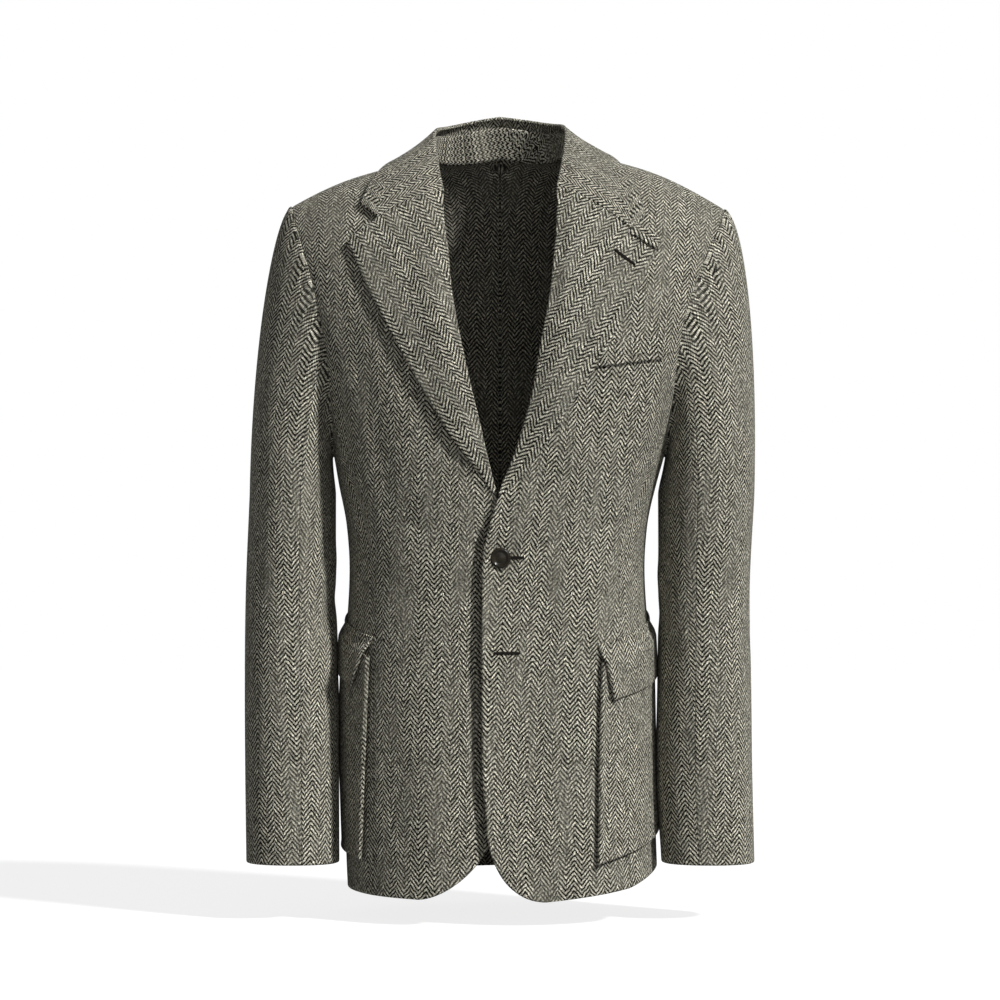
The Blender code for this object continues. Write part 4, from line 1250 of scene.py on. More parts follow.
    def make_part(self, side: Side, name: str, start: float, end: float, middle: float) -> None:
        """Builds one of a sleeve's two pieces.

        Args:
            side: The wearer's side.
            name: Of the CAD node that it stands for.
            start: Degrees where it starts.
            end: Degrees where it ends.
            middle: Degrees of the line that its flat coordinates are counted from.
        """
        share = shares(int((end - start) / 3.2), 0.85 * (end - start))
        turns = start + (end - start) * share
        base = self.grid(side, turns)
        turned = side is Side.LEFT
        normals = normals_of(base, turned)
        round_it = np.mod(turns, 360) * 0.9
        raised = folds(self.creases[side], round_it[None], base[..., 2])
        away = edge_distances(base)
        raised = raised * ease(away["top"] / 70) * ease((away["bottom"] + 25) / 60)
        drop = turned_edge(away, {"inner": 0.9, "outer": 0.9, "bottom": 2.0})
        roped = self.rope * bell(away["top"] - 5.0, 3.5) * (0.5 + 0.5 * np.cos(np.radians(turns)))[None]
        points = base + normals * (raised + roped - drop)[..., None]
        reference = int(np.argmin(np.abs(turns - middle)))
        flat = lay_flat(base[:-1], reference, 0.0 * base[:-1, 0, 0], self.cuff)
        flat = np.concatenate([flat, flat[-1:] + [0, 2.5]])
        ring = int(np.argmin(np.abs(base[:, reference, 2] - self.ring_level)))
        flat[ring:, :, 0] = flat[ring, :, 0]
        flat[ring:, :, 1] = flat[ring, :, 1] + run_lengths(base, 0)[ring:] - run_lengths(base, 0)[ring]
        flat = settled(base, flat)
        Piece.dress(name, points, flat, self.finishes.tweed, turned, "hung", [f"front_{side.word}"])

    def make(self) -> None:
        """Builds both sleeves."""
        for side in Side:
            self.make_part(side, f"sleeve_top_{side.word}", self.seam_back - 360, self.seam_front, 20.0)
            self.make_part(side, f"sleeve_under_{side.word}", self.seam_front, self.seam_back, 200.0)


# ---------------------------------------------------------------- collar and lapels


@dataclass
class Collar:
    """The turned-down collar: a stand round the neck, a fall over the shoulders, and the lapels."""

    body: Body
    finishes: Finishes
    notch_share: float = 0.72
    fold_stand: float = 2.9
    laid_stand: float = 6.2
    fold_radius: float = 2.3
    edge_roll: float = 2.3
    gorge_roll: float = 1.0
    table_tip: tuple[float, float] = (137, -60)
    sections: Table = field(default_factory=lambda: Table("turn rise lean edge_across edge_back", (
        (-30, 30, 7, -48, 82), (0, 31, 7, 0, 91), (30, 30, 7, 48, 82), (60, 25, 7, 84, 50),
        (90, 19, 6, 103, 6), (110, 10, 3.5, 121, -28), (128, 0, 0, 137, -60),
    )))

    def plan_of(self, side: Side, place: tuple[float, float]) -> Array:
        """Plan place of a front-view place on the torso."""
        point = self.body.torso.at(side, self.body.torso.turn_at(side, *place), place[1])
        return np.array([abs(point[0]), point[1]])

    def fall_plan(self, side: Side, turn: Array, share: Array) -> Array:
        """The fall in plan: straight lines from the fold to the edge, its end bent to the notch.

        Args:
            side: The wearer's side.
            turn: Degrees from the centre back.
            share: From the fold, 0, to the edge, 1.

        Returns:
            Turns by shares by 2.
        """
        torso, edges = self.body.torso, EDGES[side]
        middle, last = torso.neck_middle, self.body.gorge_turn
        across, back = torso.neck_plan(turn)
        lean = self.sections.read("lean", turn) / torso.neck_half
        fold = np.stack([across * (1 - lean), middle + (back - middle) * (1 - lean)], -1)
        edge = np.stack([self.sections.read(name, turn) for name in ("edge_across", "edge_back")], -1)
        ended = ease((turn - 60) / (last - 60)) ** 2
        tip = self.plan_of(side, edges.collar_tip)
        edge = edge + ended[:, None] * (tip - np.array(self.table_tip))
        plan = fold[:, None] + (edge - fold)[:, None] * share[None, :, None]
        gorge = np.array(torso.neck_plan(np.array(last)))
        notch_off = self.plan_of(side, edges.notch) - (gorge + self.notch_share * (tip - gorge))
        tent = np.minimum(share / self.notch_share, (1 - share) / (1 - self.notch_share))
        return plan + ended[:, None, None] ** 1.5 * tent[None, :, None] * notch_off

    def fall_half(self, side: Side, turn: Array, share: Array) -> Array:
        """Half of the fall: over the torso, raised by the stand towards the fold, laid flat at its end."""
        torso = self.body.torso
        plan = self.fall_plan(side, turn, share)
        level = torso.level_over(side, plan[..., 0], plan[..., 1])
        at = torso.turn_over(side, plan[..., 0], plan[..., 1], level)
        from_fold = np.linalg.norm(plan - plan[:, :1], axis=-1)
        ended = ease((turn - 90) / (self.body.gorge_turn - 90))[:, None]
        flat_out = self.fold_stand + (self.laid_stand - self.fold_stand) * ease(from_fold / 14)
        out = self.laid_stand + (flat_out - self.laid_stand) * ended
        below = np.minimum(level, torso.shoulder(side, plan[..., 0]) - 1.0)
        over = torso.at(side, at, level) + np.array([0, 0, self.laid_stand])
        laid = torso.at(side, at, below) + torso.normal(side, at, below) * out[..., None]
        points = over + (laid - over) * ease((turn - 80) / 25)[:, None, None]
        points[..., 2] += self.sections.read("rise", turn)[:, None] * (1 - share[None]) ** 1.25
        return points

    def end_radii(self, share: Array) -> Array:
        """Edge radius along the collar's end or the lapel's top: a seam up to the notch, then free."""
        free = ease((share - self.notch_share + 0.02) / 0.04)
        return self.gorge_roll + (self.edge_roll - self.gorge_roll) * free

    def make_fall(self) -> None:
        """Builds the fall from both its halves, with its rolled fold."""
        last = self.body.gorge_turn
        turn = np.concatenate([np.linspace(0, last - 5, 62), last - np.array([3.6, 2.4, 1.4, 0.7, 0.25, 0])])
        wide, rim = np.linspace(0, 0.72, 20), np.linspace(0.72, 0.93, 8)[1:]
        share = np.concatenate([wide, rim, [0.95, 0.965, 0.98, 0.99, 1]])
        halves = {side: self.fall_half(side, turn, share) for side in Side}
        base = np.concatenate([halves[Side.RIGHT][::-1], halves[Side.LEFT][1:]])
        away = edge_distances(base)
        radii = self.end_radii(share)
        drop = turned_edge(away, {"outer": self.edge_roll, "bottom": radii, "top": radii})
        normals = normals_of(base, True)
        points = folded_over(base - normals * drop[..., None], normals, self.fold_radius, 9)
        middle = len(turn) - 1
        along = run_lengths(base, 0)[:, 14]
        across = run_lengths(points, 1)
        flat = np.stack([np.broadcast_to((along - along[middle])[:, None], across.shape), -across], -1)
        Piece.dress("collar_fall", points, flat, self.finishes.tweed, True, "folded", ["collar_stand_cloth"])

    def make_stand(self) -> None:
        """Builds the stand: a band that leans in from the neck seam up to the fold."""
        torso = self.body.torso
        turn = np.linspace(0, self.body.gorge_turn - 3, 56)
        rows = np.linspace(0, 1, 10)
        halves = {}
        for side in Side:
            across, back = torso.neck_plan(turn)
            foot_level = torso.level_over(side, across, back) - 1.5
            lean = self.sections.read("lean", turn)
            rise = np.maximum(self.sections.read("rise", turn) + 2.5, 3.0)
            ends = []
            for inward, up in ((0.4 + 0 * lean, 0 * rise), (1.2 + lean, rise)):
                scale = 1 - inward / torso.neck_half
                depth = torso.neck_middle + (back - torso.neck_middle) * scale
                ends.append(np.stack([side.value * across * scale, depth, foot_level + up], -1))
            foot, head = ends
            halves[side] = foot[:, None] + (head - foot)[:, None] * rows[None, :, None]
        points = np.concatenate([halves[Side.RIGHT][::-1], halves[Side.LEFT][1:]])
        flat = settled(points, lay_flat(points, 0, run_lengths(points, 0)[:, 0], 0.0)[..., ::-1])
        Piece.dress("collar_stand", points, flat, self.finishes.tweed, False,
                    "stretched", ["back_right", "back_left"], 1.6)

    def lapel_places(self, side: Side, up: Array, gorge: Array, beyond: Array) -> tuple[Array, Array, Array]:
        """Front-view places of a lapel.

        Rows run from the roll line to the outer edge; near the top they bend to meet the gorge
        seam and the lapel's own top edge, by the fifth power of the way up.

        Args:
            side: The wearer's side.
            up: Rising shares from the break to the top.
            gorge: Shares along the collar's end, up to the notch.
            beyond: Shares from the notch to the lapel's tip.

        Returns:
            Distance from the middle, level, and each row's width.
        """
        edges, torso = EDGES[side], self.body.torso
        roll, rim = Table("level across", edges.roll), Table("level across", edges.lapel)
        start = self.body.break_level
        inner_level = start + 4 + (self.body.gorge_level - start - 4) * up
        outer_level = start + 4 + (edges.lapel_tip[1] - start - 4) * up
        inner = roll.read("across", inner_level)
        reached = (outer_level - start) / (edges.lapel_tip[1] - start)
        outer = rim.read("across", start + reached * (edges.lapel[-1][0] - start))
        outer[-1] = edges.lapel_tip[0]
        outer = np.maximum(outer, inner + 3)
        plan = self.fall_plan(side, np.array([self.body.gorge_turn]), gorge)[0]
        top_level = torso.level_over(side, plan[:, 0], plan[:, 1])
        notch = np.array([plan[-1, 0], top_level[-1]])
        to_tip = notch + (np.array(edges.lapel_tip) - notch) * beyond[:, None]
        top = np.concatenate([np.stack([plan[:, 0], top_level], -1), to_tip])
        share = (top[:, 0] - top[0, 0]) / (top[-1, 0] - top[0, 0])
        across = inner[:, None] + (outer - inner)[:, None] * share
        level = inner_level[:, None] + (outer_level - inner_level)[:, None] * share
        bend = up[:, None] ** 5
        across = across + bend * (top[:, 0] - across[-1])
        level = level + bend * (top[:, 1] - level[-1])
        return across, level, outer - inner

    def lapel_out(self, from_fold: Array, width: Array, up: Array) -> Array:
        """How far a lapel stands off its front: up from the fold in a soft roll, then laid down."""
        flat_out = self.fold_stand + (self.laid_stand - self.fold_stand) * ease(from_fold / 14)
        roll = 3.2 * bell(from_fold - 15, 15.0) * ease(width / 60) * (1 - 0.6 * ease((up - 0.7) / 0.3))
        return 1.2 + (flat_out - 1.2) * ease(width / 30) + roll

    def make_lapel(self, side: Side) -> None:
        """Builds one lapel, with its rolled fold."""
        up = shares(86, 290.0)
        gorge = np.linspace(0, self.notch_share, 24)
        beyond = shares(9, 32.0, near=False)[1:]
        across, level, width = self.lapel_places(side, up, gorge, beyond)
        turn = self.body.torso.turn_at(side, across, level)
        out = self.lapel_out(across - across[:, :1], width[:, None], up[:, None])
        base = self.body.face(side, turn, level, out)
        away = edge_distances(base)
        top_share = np.concatenate([gorge, np.full(len(beyond), 1.0)])
        radii = {"outer": np.minimum(self.edge_roll, width * 0.3), "top": self.end_radii(top_share)}
        drop = turned_edge(away, radii)
        normals = normals_of(base, side is Side.RIGHT)
        radius = 0.8 + 1.5 * ease(width / 30)
        points = folded_over(base - normals * drop[..., None], normals, radius)
        edges = EDGES[side]
        slope = math.atan2(edges.lapel_tip[0] - edges.lapel[0][1], edges.lapel_tip[1] - edges.lapel[0][0])
        front_view = np.stack([side.value * points[..., 0], points[..., 2]], -1)
        flat = np.stack([
            front_view[..., 0] * math.cos(slope) - front_view[..., 1] * math.sin(slope),
            front_view[..., 0] * math.sin(slope) + front_view[..., 1] * math.cos(slope),
        ], -1)
        Piece.dress(f"lapel_{side.word}", points, flat, self.finishes.tweed, side is Side.RIGHT,
                    "folded", [f"front_{side.word}_cloth"])

    def make(self) -> None:
        """Builds the collar and both lapels."""
        self.make_stand()
        self.make_fall()
        for side in Side:
            self.make_lapel(side)


# ---------------------------------------------------------------- sewing


@dataclass
class Sewing:
    """Thread work: rows of lockstitches, and worked buttonholes."""

    finishes: Finishes
    pitch: float = 3.0
    stitch: float = 2.2
    radius: float = 0.28

    def tube(self, name: str, path: Array, normals: Array, radii: Array, sides: int = 10,
             closed: bool = True) -> bpy.types.Object:
        """A tube carried along a path: circles in the plane of the normal and the sideways way.

        Args:
            name: The piece's name.
            path: Points along it.
            normals: The way that is up at each point.
            radii: Radius at each point.
            sides: Points round it.
            closed: Whether the path joins up; otherwise its two ends are left open.

        Returns:
            The new object.
        """
        after, before = (np.roll(path, -1, 0), np.roll(path, 1, 0)) if closed else (path[1:], path[:-1])
        tangent = unit(after - before) if closed else unit(np.gradient(path, axis=0))
        sideways = unit(np.cross(tangent, normals))
        angle = np.linspace(0, 2 * math.pi, sides, endpoint=False)[None, :, None]
        round_it = np.cos(angle) * sideways[:, None] + np.sin(angle) * normals[:, None]
        grid = path[:, None] + round_it * np.asarray(radii)[:, None, None]
        if closed:
            grid = np.concatenate([grid, grid[:1]])
        faces = Piece.quads(*grid.shape[:2], wrap=True)
        if closed:
            faces = np.where(faces >= (len(grid) - 1) * sides, faces - (len(grid) - 1) * sides, faces)
            grid = grid[:-1]
        return Piece.from_arrays(name, grid, faces, self.finishes.thread)

    def row(self, name: str, path: Array, normals: Array) -> None:
        """A row of stitches: small spindles laid end to end with gaps, along a path.

        Each spindle is five rings of six points whose radius is the root of a half sine.

        Args:
            name: The piece's name.
            path: Close points along the seam.
            normals: The cloth's normals there.
        """
        length = run_lengths(path[None], 1)[0]
        at = np.arange(self.pitch, length[-1] - self.pitch / 2, self.pitch)
        grids = (path, normals, np.gradient(path, axis=0))
        centre, up, along = (
            np.stack([np.interp(at, length, grid[:, i]) for i in range(3)], -1) for grid in grids
        )
        up, along = unit(up), unit(along)
        aside = unit(np.cross(along, up))
        s = np.linspace(0.02, 0.98, 5)
        angle = np.linspace(0, 2 * math.pi, 6, endpoint=False)
        swell = self.radius * np.sqrt(np.sin(math.pi * s))
        lengthwise = ((s - 0.5) * self.stitch)[None, :, None, None] * along[:, None, None]
        ring = np.cos(angle)[:, None] * aside[:, None, None] + np.sin(angle)[:, None] * up[:, None, None]
        dip = -0.25 * (2 * s[None, :, None, None] - 1) ** 2 * up[:, None, None]
        points = centre[:, None, None] + lengthwise + dip + ring * swell[None, :, None, None]
        one = Piece.quads(5, 6, wrap=True)
        ends = np.array([[5, 4, 3, 2], [5, 2, 1, 0], [24, 25, 26, 27], [24, 27, 28, 29]])
        faces = np.concatenate([one, ends])[None] + 30 * np.arange(len(at))[:, None, None]
        made = Piece.from_arrays(name, points, faces.reshape(-1, 4), self.finishes.thread)
        Piece.place(made, "tweed")

    def buttonhole(self, name: str, surface: Callable[[Array, Array, float], tuple[Array, Array]],
                   start: tuple[float, float], end: tuple[float, float]) -> None:
        """A worked buttonhole: a corded oval, ribbed by its own stitches, closed round a tube of dark thread
        along its slit, a painted shadow of the opening.

        The cord's radius is a plain one plus a small cosine that runs once for each stitch.

        Args:
            name: The piece's name.
            surface: Gives points and normals over front-view places and a height.
            start: Front-view place of one end.
            end: Front-view place of the other.
        """
        angle = np.linspace(0, 2 * math.pi, 480, endpoint=False)
        line = np.subtract(end, start)
        length = float(np.hypot(*line))
        way = line / length
        middle = np.add(start, end) / 2
        along = 0.5 * length * np.sign(np.cos(angle)) * np.abs(np.cos(angle)) ** 0.75
        aside = 0.8 * np.sin(angle)
        places = middle + along[:, None] * way + aside[:, None] * np.array([-way[1], way[0]])
        path, normals = surface(places[:, 0], places[:, 1], 0.35)
        radii = 0.74 * (1 + 0.2 * np.cos(46 * angle)) + 0.3 * bell(np.abs(along) - 0.5 * length, 1.6)
        cord = self.tube(f"{name}_cord", path, normals, radii)
        Piece.place(cord, "tweed")
        # The slit is a tube of dark thread: a painted shadow standing in for the shade inside the opening.
        t = np.linspace(-0.47, 0.47, 40)
        slit_places = middle + (t * length)[:, None] * way
        path, normals = surface(slit_places[:, 0], slit_places[:, 1], -0.1)
        shadow_slit = self.tube(f"{name}_slit", path, normals, 0.62 * np.sqrt(1 - (t / 0.475) ** 2) + 0.01, 8, False)
        Piece.place(shadow_slit, "tweed")


# ---------------------------------------------------------------- what lies on the fronts


@dataclass(frozen=True)
class PocketSizes:
    """One side's patch pocket and flap, as front-view places of their front corners."""

    flap_top: tuple[float, float]
    flap_bottom: tuple[float, float]
    flap_rise: float
    pocket_top: tuple[float, float]
    pocket_bottom: tuple[float, float]
    pocket_rise: float
    rear_turn: float


@dataclass
class Pockets:
    """Patch pockets that stand proud along their front edges, and their twice-stitched flaps."""

    body: Body
    sewing: Sewing
    finishes: Finishes
    stand: float = 4.4
    proud: float = 2.8           # more, along the front edge
    flap_stand: float = 8.0
    flap_sewn: float = 2.6       # how far a flap stands off where it is sewn down
    flap_rows: tuple[float, float] = (1.9, 6.0)    # its rows of stitches, in from its top
    edge_roll: float = 2.6
    groove: float = 0.55
    stitch_in: float = 6.0
    sizes: dict[Side, PocketSizes] = field(default_factory=lambda: {
        Side.RIGHT: PocketSizes((124, -484), (139, -534), 28, (125, -503), (132, -703), 12, 112),
        Side.LEFT: PocketSizes((95, -491), (107, -546), 34, (97, -509), (93, -706), 40, 104),
    })

    def pocket_places(self, side: Side, up: Array, share: Array) -> tuple[Array, Array]:
        """Angle and level over a pocket: its front edge leans, its mouth and its bottom rise rearwards."""
        sizes, torso = self.sizes[side], self.body.torso
        top_turn = torso.turn_at(side, *sizes.pocket_top)
        low_turn = torso.turn_at(side, *sizes.pocket_bottom)
        front_turn = low_turn + (top_turn - low_turn) * up
        turn = front_turn + (sizes.rear_turn - front_turn) * share
        low = sizes.pocket_bottom[1] + sizes.pocket_rise * share
        high = sizes.pocket_top[1] + sizes.flap_rise * share
        return turn, low + (high - low) * up

    def flap_places(self, side: Side, share: Array, down: Array) -> tuple[Array, Array]:
        """Angle and level over a flap, by the share rearwards and the share down."""
        sizes = self.sizes[side]
        across = sizes.flap_top[0] + (sizes.flap_bottom[0] - sizes.flap_top[0]) * down
        front_level = sizes.flap_top[1] + (sizes.flap_bottom[1] - sizes.flap_top[1]) * down
        front_turn = self.body.torso.turn_at(side, across, front_level)
        turn = front_turn + (sizes.rear_turn + 1 - front_turn) * share
        return turn, front_level + sizes.flap_rise * share * (1 - 0.15 * down)

    def flap_out(self, down: Array, length: float) -> Array:
        """How far a flap stands off: sewn down at its top, then out over the pocket's mouth."""
        return self.flap_sewn + (self.flap_stand - self.flap_sewn) * ease((down * length - 5) / 14)

    def make_pocket(self, side: Side) -> None:
        """Builds one patch pocket."""
        up, share = shares(56, 200.0)[:, None], shares(40, 150.0)[None]
        turn, level = self.pocket_places(side, up, share)
        away = edge_distances(self.body.torso.at(side, turn, level))
        out = self.stand + self.proud * bell(away["inner"] - 2.5, 4.5) + 0.8 * bell(away["bottom"] - 2.5, 4.0)
        out = out + 1.2 * np.sin(math.pi * share) * np.sin(math.pi * up)
        near = np.minimum(away["inner"], np.minimum(away["outer"], away["bottom"]))
        out = out - self.groove * bell(near - self.stitch_in, 0.9)
        radii = {edge: self.edge_roll for edge in ("inner", "outer", "bottom")}
        drop = turned_edge(away, {**radii, "top": 1.2})
        points = self.body.face(side, turn, level, out - drop)
        flat = lay_flat(points, 0, side.value * points[:, 0, 0], level[0])
        Piece.dress(f"pocket_{side.word}", points, flat, self.finishes.tweed, side is Side.RIGHT,
                    "hung", [f"front_{side.word}_cloth", f"side_{side.word}_cloth"])

    def make_flap(self, side: Side) -> None:
        """Builds one flap and its two rows of stitches."""
        sizes = self.sizes[side]
        length = float(np.hypot(*np.subtract(sizes.flap_top, sizes.flap_bottom)))
        down, share = shares(18, length)[::-1][:, None], shares(42, 150.0)[None]
        turn, level = self.flap_places(side, share, down)
        away = edge_distances(self.body.torso.at(side, turn, level))
        out = self.flap_out(down, length) + 2.6 * bell(away["inner"] - 2.0, 5.0) * ease(down * length / 20)
        out = out + 0.9 * bell(away["top"] - 3.9, 1.5)
        for inset, width in zip(self.flap_rows, (0.7, 0.8)):
            out = out - self.groove * bell(away["top"] - inset, width)
        radii = {"inner": 2.2, "outer": 2.2, "bottom": 2.4, "top": 1.2}
        drop = turned_edge(away, radii)
        points = self.body.face(side, turn, level, out - drop)
        flat = lay_flat(points, 0, side.value * points[:, 0, 0], level[0])
        Piece.dress(f"flap_{side.word}", points, flat, self.finishes.tweed, side is Side.RIGHT,
                    "hung", [f"front_{side.word}_cloth", f"side_{side.word}_cloth"])
        dense = np.linspace(0.01, 0.99, 200)
        for number, inset in enumerate(self.flap_rows):
            turn, level = self.flap_places(side, dense, np.array(inset / length))
            out = self.flap_out(np.array(inset / length), length) - self.groove + 0.1
            path = self.body.face(side, turn, level, out)
            normals = self.body.torso.normal(side, turn, level)
            self.sewing.row(f"flap_{side.word}_stitches_{number + 1}", path, normals)

    def make(self) -> None:
        """Builds both pockets and flaps."""
        for side in Side:
            self.make_pocket(side)
            self.make_flap(side)


@dataclass
class ChestDetails:
    """The breast welt and the throat tab, both on the left front."""

    body: Body
    finishes: Finishes
    welt_inner: tuple[float, float] = (86, -199)
    welt_outer: tuple[float, float] = (158, -189)
    welt_height: float = 23.0
    tab_start: tuple[float, float] = (128, -86.5)
    tab_end: tuple[float, float] = (153.5, -102.5)
    tab_half: float = 6.0
    welt_stand: float = 3.4
    tab_stand: float = 9.0

    def lay(self, name: str, across: Array, level: Array, out: float, roll: float, flat: Array) -> None:
        """Lays a small flat piece on the left front.

        Args:
            name: Of the CAD node that it stands for.
            across: Distance from the middle.
            level: Height.
            out: How far its face stands off the front.
            roll: Radius of its edges.
            flat: Its flat cloth coordinates.
        """
        turn = self.body.torso.turn_at(Side.LEFT, across, level)
        away = edge_distances(self.body.torso.at(Side.LEFT, turn, level))
        drop = turned_edge(away, {edge: roll for edge in away})
        points = self.body.face(Side.LEFT, turn, level, out - drop)
        Piece.dress(name, points, flat, self.finishes.tweed, False, "laid", ["front_left_cloth"], 1.6)

    def make(self) -> None:
        """Builds the welt and the tab."""
        share, up = shares(24, 73.0)[None], shares(10, self.welt_height)[:, None]
        inner, outer = self.welt_inner, self.welt_outer
        across = inner[0] + (outer[0] - inner[0]) * share + 0 * up
        level = inner[1] + (outer[1] - inner[1]) * share - self.welt_height * (1 - up)
        self.lay("breast_welt", across, level, self.welt_stand, 1.7, np.stack([across, level], -1))

        start, end = np.array(self.tab_start, float), np.array(self.tab_end, float)
        way = unit(end - start)
        side_way = np.array([-way[1], way[0]])
        along, wide = shares(20, 36.0), (2 * shares(10, 2 * self.tab_half) - 1) * self.tab_half
        place = start + (end - start) * along[None, :, None] + side_way * wide[:, None, None]
        length = float(np.linalg.norm(end - start))
        flat = np.stack(np.broadcast_arrays(wide[:, None], along[None] * length), -1)
        self.lay("throat_tab", place[..., 0], place[..., 1], self.tab_stand, 1.8, flat)


# ---------------------------------------------------------------- buttons


@dataclass
class Buttons:
    """Turned horn buttons with a raised rim round a low dome, standing just off the cloth."""

    body: Body
    finishes: Finishes
    levels: dict[str, float] = field(default_factory=lambda: {"upper": -406.0, "lower": -498.0})
    profile: tuple[tuple[float, float], ...] = (
        (0.0, 2.55), (1.2, 2.5), (2.4, 2.33), (3.6, 2.05), (4.8, 1.8), (5.6, 1.75), (6.3, 2.0),
        (6.9, 2.6), (7.5, 3.1), (8.1, 3.3), (8.7, 3.2), (9.3, 2.8), (9.75, 2.2), (10.0, 1.5),
        (9.85, 0.9), (9.4, 0.35), (8.6, 0.05), (6.0, 0.0), (2.0, 0.0), (0.0, 0.0),
    )

    def turned(self, name: str, centre: Array, axis: Array, thickness: float) -> bpy.types.Object:
        """A turned solid: the profile carried round the axis, its two poles closed.

        Args:
            name: The piece's name.
            centre: Middle of its back.
            axis: The way that it faces.
            thickness: Share of the profile's height that it has.

        Returns:
            The new object.
        """
        outline = np.array(self.profile) * (1, thickness)
        count, last = 72, len(outline) - 2
        angle = np.linspace(0, 2 * math.pi, count, endpoint=False)[None, :, None]
        right = unit(np.cross(axis, [0, 0, 1.0]))
        ring = np.cos(angle) * right + np.sin(angle) * np.cross(right, axis)
        inner = outline[1:-1]
        grid = centre + inner[:, :1, None] * ring + inner[:, 1:, None] * axis
        poles = centre + outline[[0, -1], 1][:, None] * axis
        around = np.arange(count)
        nearer, further = np.roll(around, -1), around + (last - 1) * count
        fans = [
            np.stack([np.full(count, last * count), nearer, around], -1),
            np.stack([np.full(count, last * count + 1), further, nearer + (last - 1) * count], -1),
        ]
        faces = Piece.quads(last, count, wrap=True).tolist() + np.concatenate(fans).tolist()
        points = np.concatenate([grid.reshape(-1, 3), poles])
        return Piece.from_arrays(name, points, faces, self.finishes.horn)

    def make(self) -> None:
        """Builds both buttons; the lower one lies under the lap."""
        torso = self.body.torso
        for name, level in self.levels.items():
            side = Side.LEFT if name == "upper" else Side.RIGHT
            turn, at = torso.turn_at(side, 0.5, level), np.array(level)
            stand = 1.2 if name == "upper" else 0.6
            centre = self.body.face(side, turn, at, stand)
            axis = torso.normal(side, turn, at)
            made = self.turned(f"button_{name}_horn", centre, axis, 1.0 if name == "upper" else 0.7)
            Piece.place(made, "horn", [f"button_{name}"])


@dataclass
class Buttonholes:
    """The worked buttonholes: one fastened, one left open, and the lapel's."""

    body: Body
    sewing: Sewing
    collar: Collar
    fastened: tuple[tuple[float, float], tuple[float, float]] = ((-4, -406), (22.5, -406))
    unfastened: tuple[tuple[float, float], tuple[float, float]] = ((-6, -499), (19, -499))
    lapel: tuple[tuple[float, float], tuple[float, float]] = ((111.0, -108.5), (129.5, -122.0))

    def on_front(self, across: Array, level: Array, out: float) -> tuple[Array, Array]:
        """Places on the over front: points and normals."""
        turn = self.body.torso.turn_at(Side.LEFT, across, level)
        return self.body.face(Side.LEFT, turn, level, out), self.body.torso.normal(Side.LEFT, turn, level)

    def on_lapel(self, across: Array, level: Array, out: float) -> tuple[Array, Array]:
        """Places on the left lapel, where it lies down: points and normals."""
        turn = self.body.torso.turn_at(Side.LEFT, across, level)
        out = out + self.collar.laid_stand
        return self.body.face(Side.LEFT, turn, level, out), self.body.torso.normal(Side.LEFT, turn, level)

    def make(self) -> None:
        """Works all three."""
        self.sewing.buttonhole("buttonhole_upper", self.on_front, *self.fastened)
        self.sewing.buttonhole("buttonhole_lower", self.on_front, *self.unfastened)
        self.sewing.buttonhole("buttonhole_lapel", self.on_lapel, *self.lapel)


# ---------------------------------------------------------------- studio


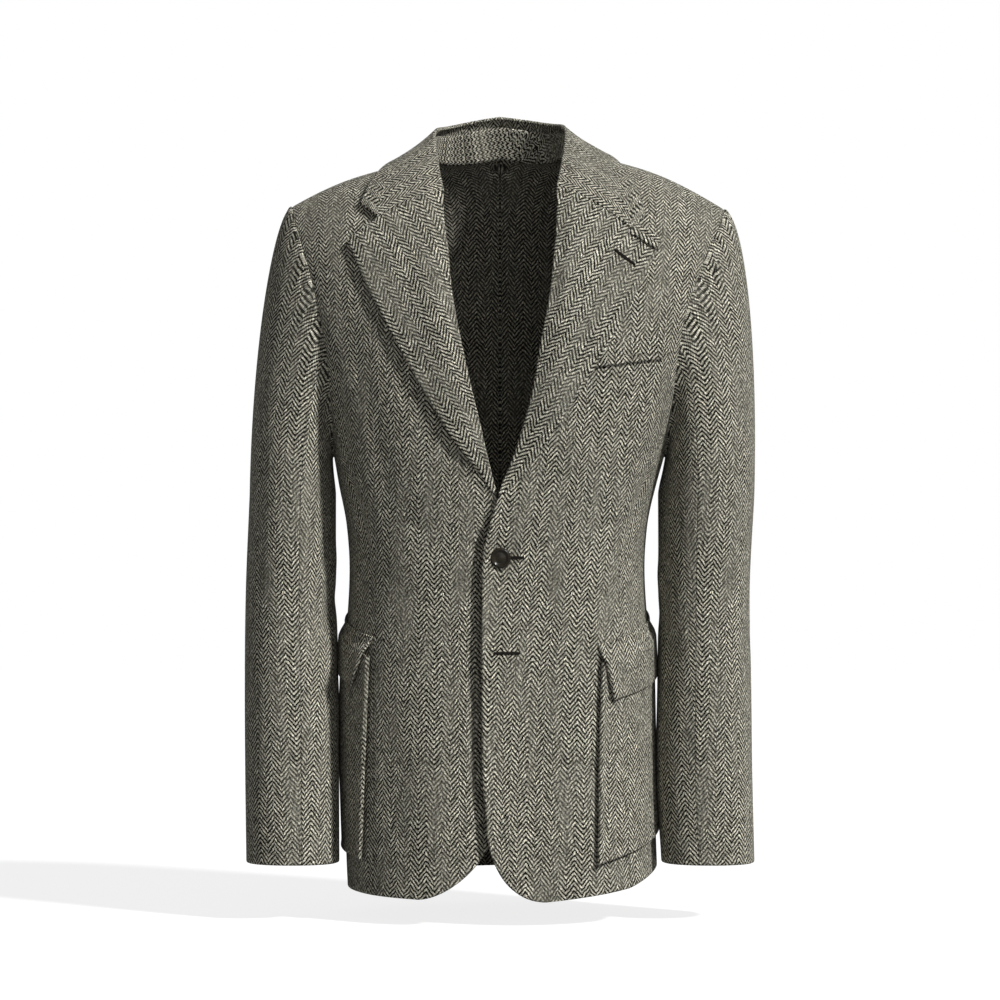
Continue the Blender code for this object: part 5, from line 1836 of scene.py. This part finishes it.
@dataclass
class Studio:
    """A pale studio: a level camera, soft suns from the front right and left, and a white floor."""

    camera_place: tuple[float, float, float] = (0.0, -4.2, -0.35)
    lens: float = 151.2
    floor_level: float = -0.765
    backdrop: tuple[float, ...] = (1, 1, 1, 1)
    surround: tuple[float, ...] = (0.135, 0.135, 0.135, 1)
    suns: tuple[tuple[str, float, float, float, float], ...] = (
        ("key", 50, 40, 3.4, 5),
        ("front", 12, 8, 0.3, 40),
        ("fill", -42, 14, 0.08, 60),
    )

    def add(self, name: str, data: bpy.types.ID) -> bpy.types.Object:
        """Links a lamp or camera into the scene."""
        made = bpy.data.objects.new(name, data)
        bpy.context.scene.collection.objects.link(made)
        return made

    def light(self) -> None:
        """Hangs the suns; each is a name, degrees to the camera's right, elevation, strength, width."""
        for name, round_it, up, strength, width in self.suns:
            sun = bpy.data.lights.new(name, "SUN")
            sun.energy, sun.angle = strength, math.radians(width)
            made = self.add(name, sun)
            made.rotation_euler = (math.radians(90 - up), 0, math.radians(round_it))

    def world(self) -> None:
        """White to the camera, and a dimmer grey as light."""
        world = bpy.data.worlds.new("studio")
        world.use_nodes = True
        nodes, links = world.node_tree.nodes, world.node_tree.links
        nodes.clear()
        seen, given = nodes.new("ShaderNodeBackground"), nodes.new("ShaderNodeBackground")
        seen.inputs["Color"].default_value = self.backdrop
        given.inputs["Color"].default_value = self.surround
        path, mixed = nodes.new("ShaderNodeLightPath"), nodes.new("ShaderNodeMixShader")
        links.new(path.outputs["Is Camera Ray"], mixed.inputs[0])
        links.new(given.outputs[0], mixed.inputs[1])
        links.new(seen.outputs[0], mixed.inputs[2])
        links.new(mixed.outputs[0], nodes.new("ShaderNodeOutputWorld").inputs["Surface"])
        bpy.context.scene.world = world

    def floor(self) -> None:
        """A wide flat floor under the hem."""
        half, level = 6000.0, self.floor_level / MM
        plan = ((-half, -half), (half, -half), (half, half), (-half, half))
        corners = np.array([(*place, level) for place in plan])
        made = Piece.from_arrays("studio_floor", corners, [(0, 1, 2, 3)], PaleFloor().make())

    def make(self) -> None:
        """Sets up the camera, the lamps, the world and the floor."""
        data = bpy.data.cameras.new("camera")
        data.sensor_width, data.lens, data.clip_end = 36.0, self.lens, 50.0
        camera = self.add("camera", data)
        camera.location, camera.rotation_euler = self.camera_place, (math.radians(90), 0, 0)
        bpy.context.scene.camera = camera
        bpy.context.scene.view_settings.view_transform = "Standard"
        self.light()
        self.world()
        self.floor()


# ---------------------------------------------------------------- the whole jacket


def main() -> None:
    """Builds every piece in turn, then the studio."""
    logging.basicConfig(level=logging.INFO, format="%(name)s: %(message)s")
    finishes = Finishes()
    body = Body(Torso(), finishes)
    collar = Collar(body, finishes)
    sewing = Sewing(finishes)
    body.make()
    Sleeves(body, finishes).make()
    collar.make()
    Pockets(body, sewing, finishes).make()
    ChestDetails(body, finishes).make()
    Buttons(body, finishes).make()
    Buttonholes(body, sewing, collar).make()
    Studio().make()


if __name__ == "__main__":
    main()
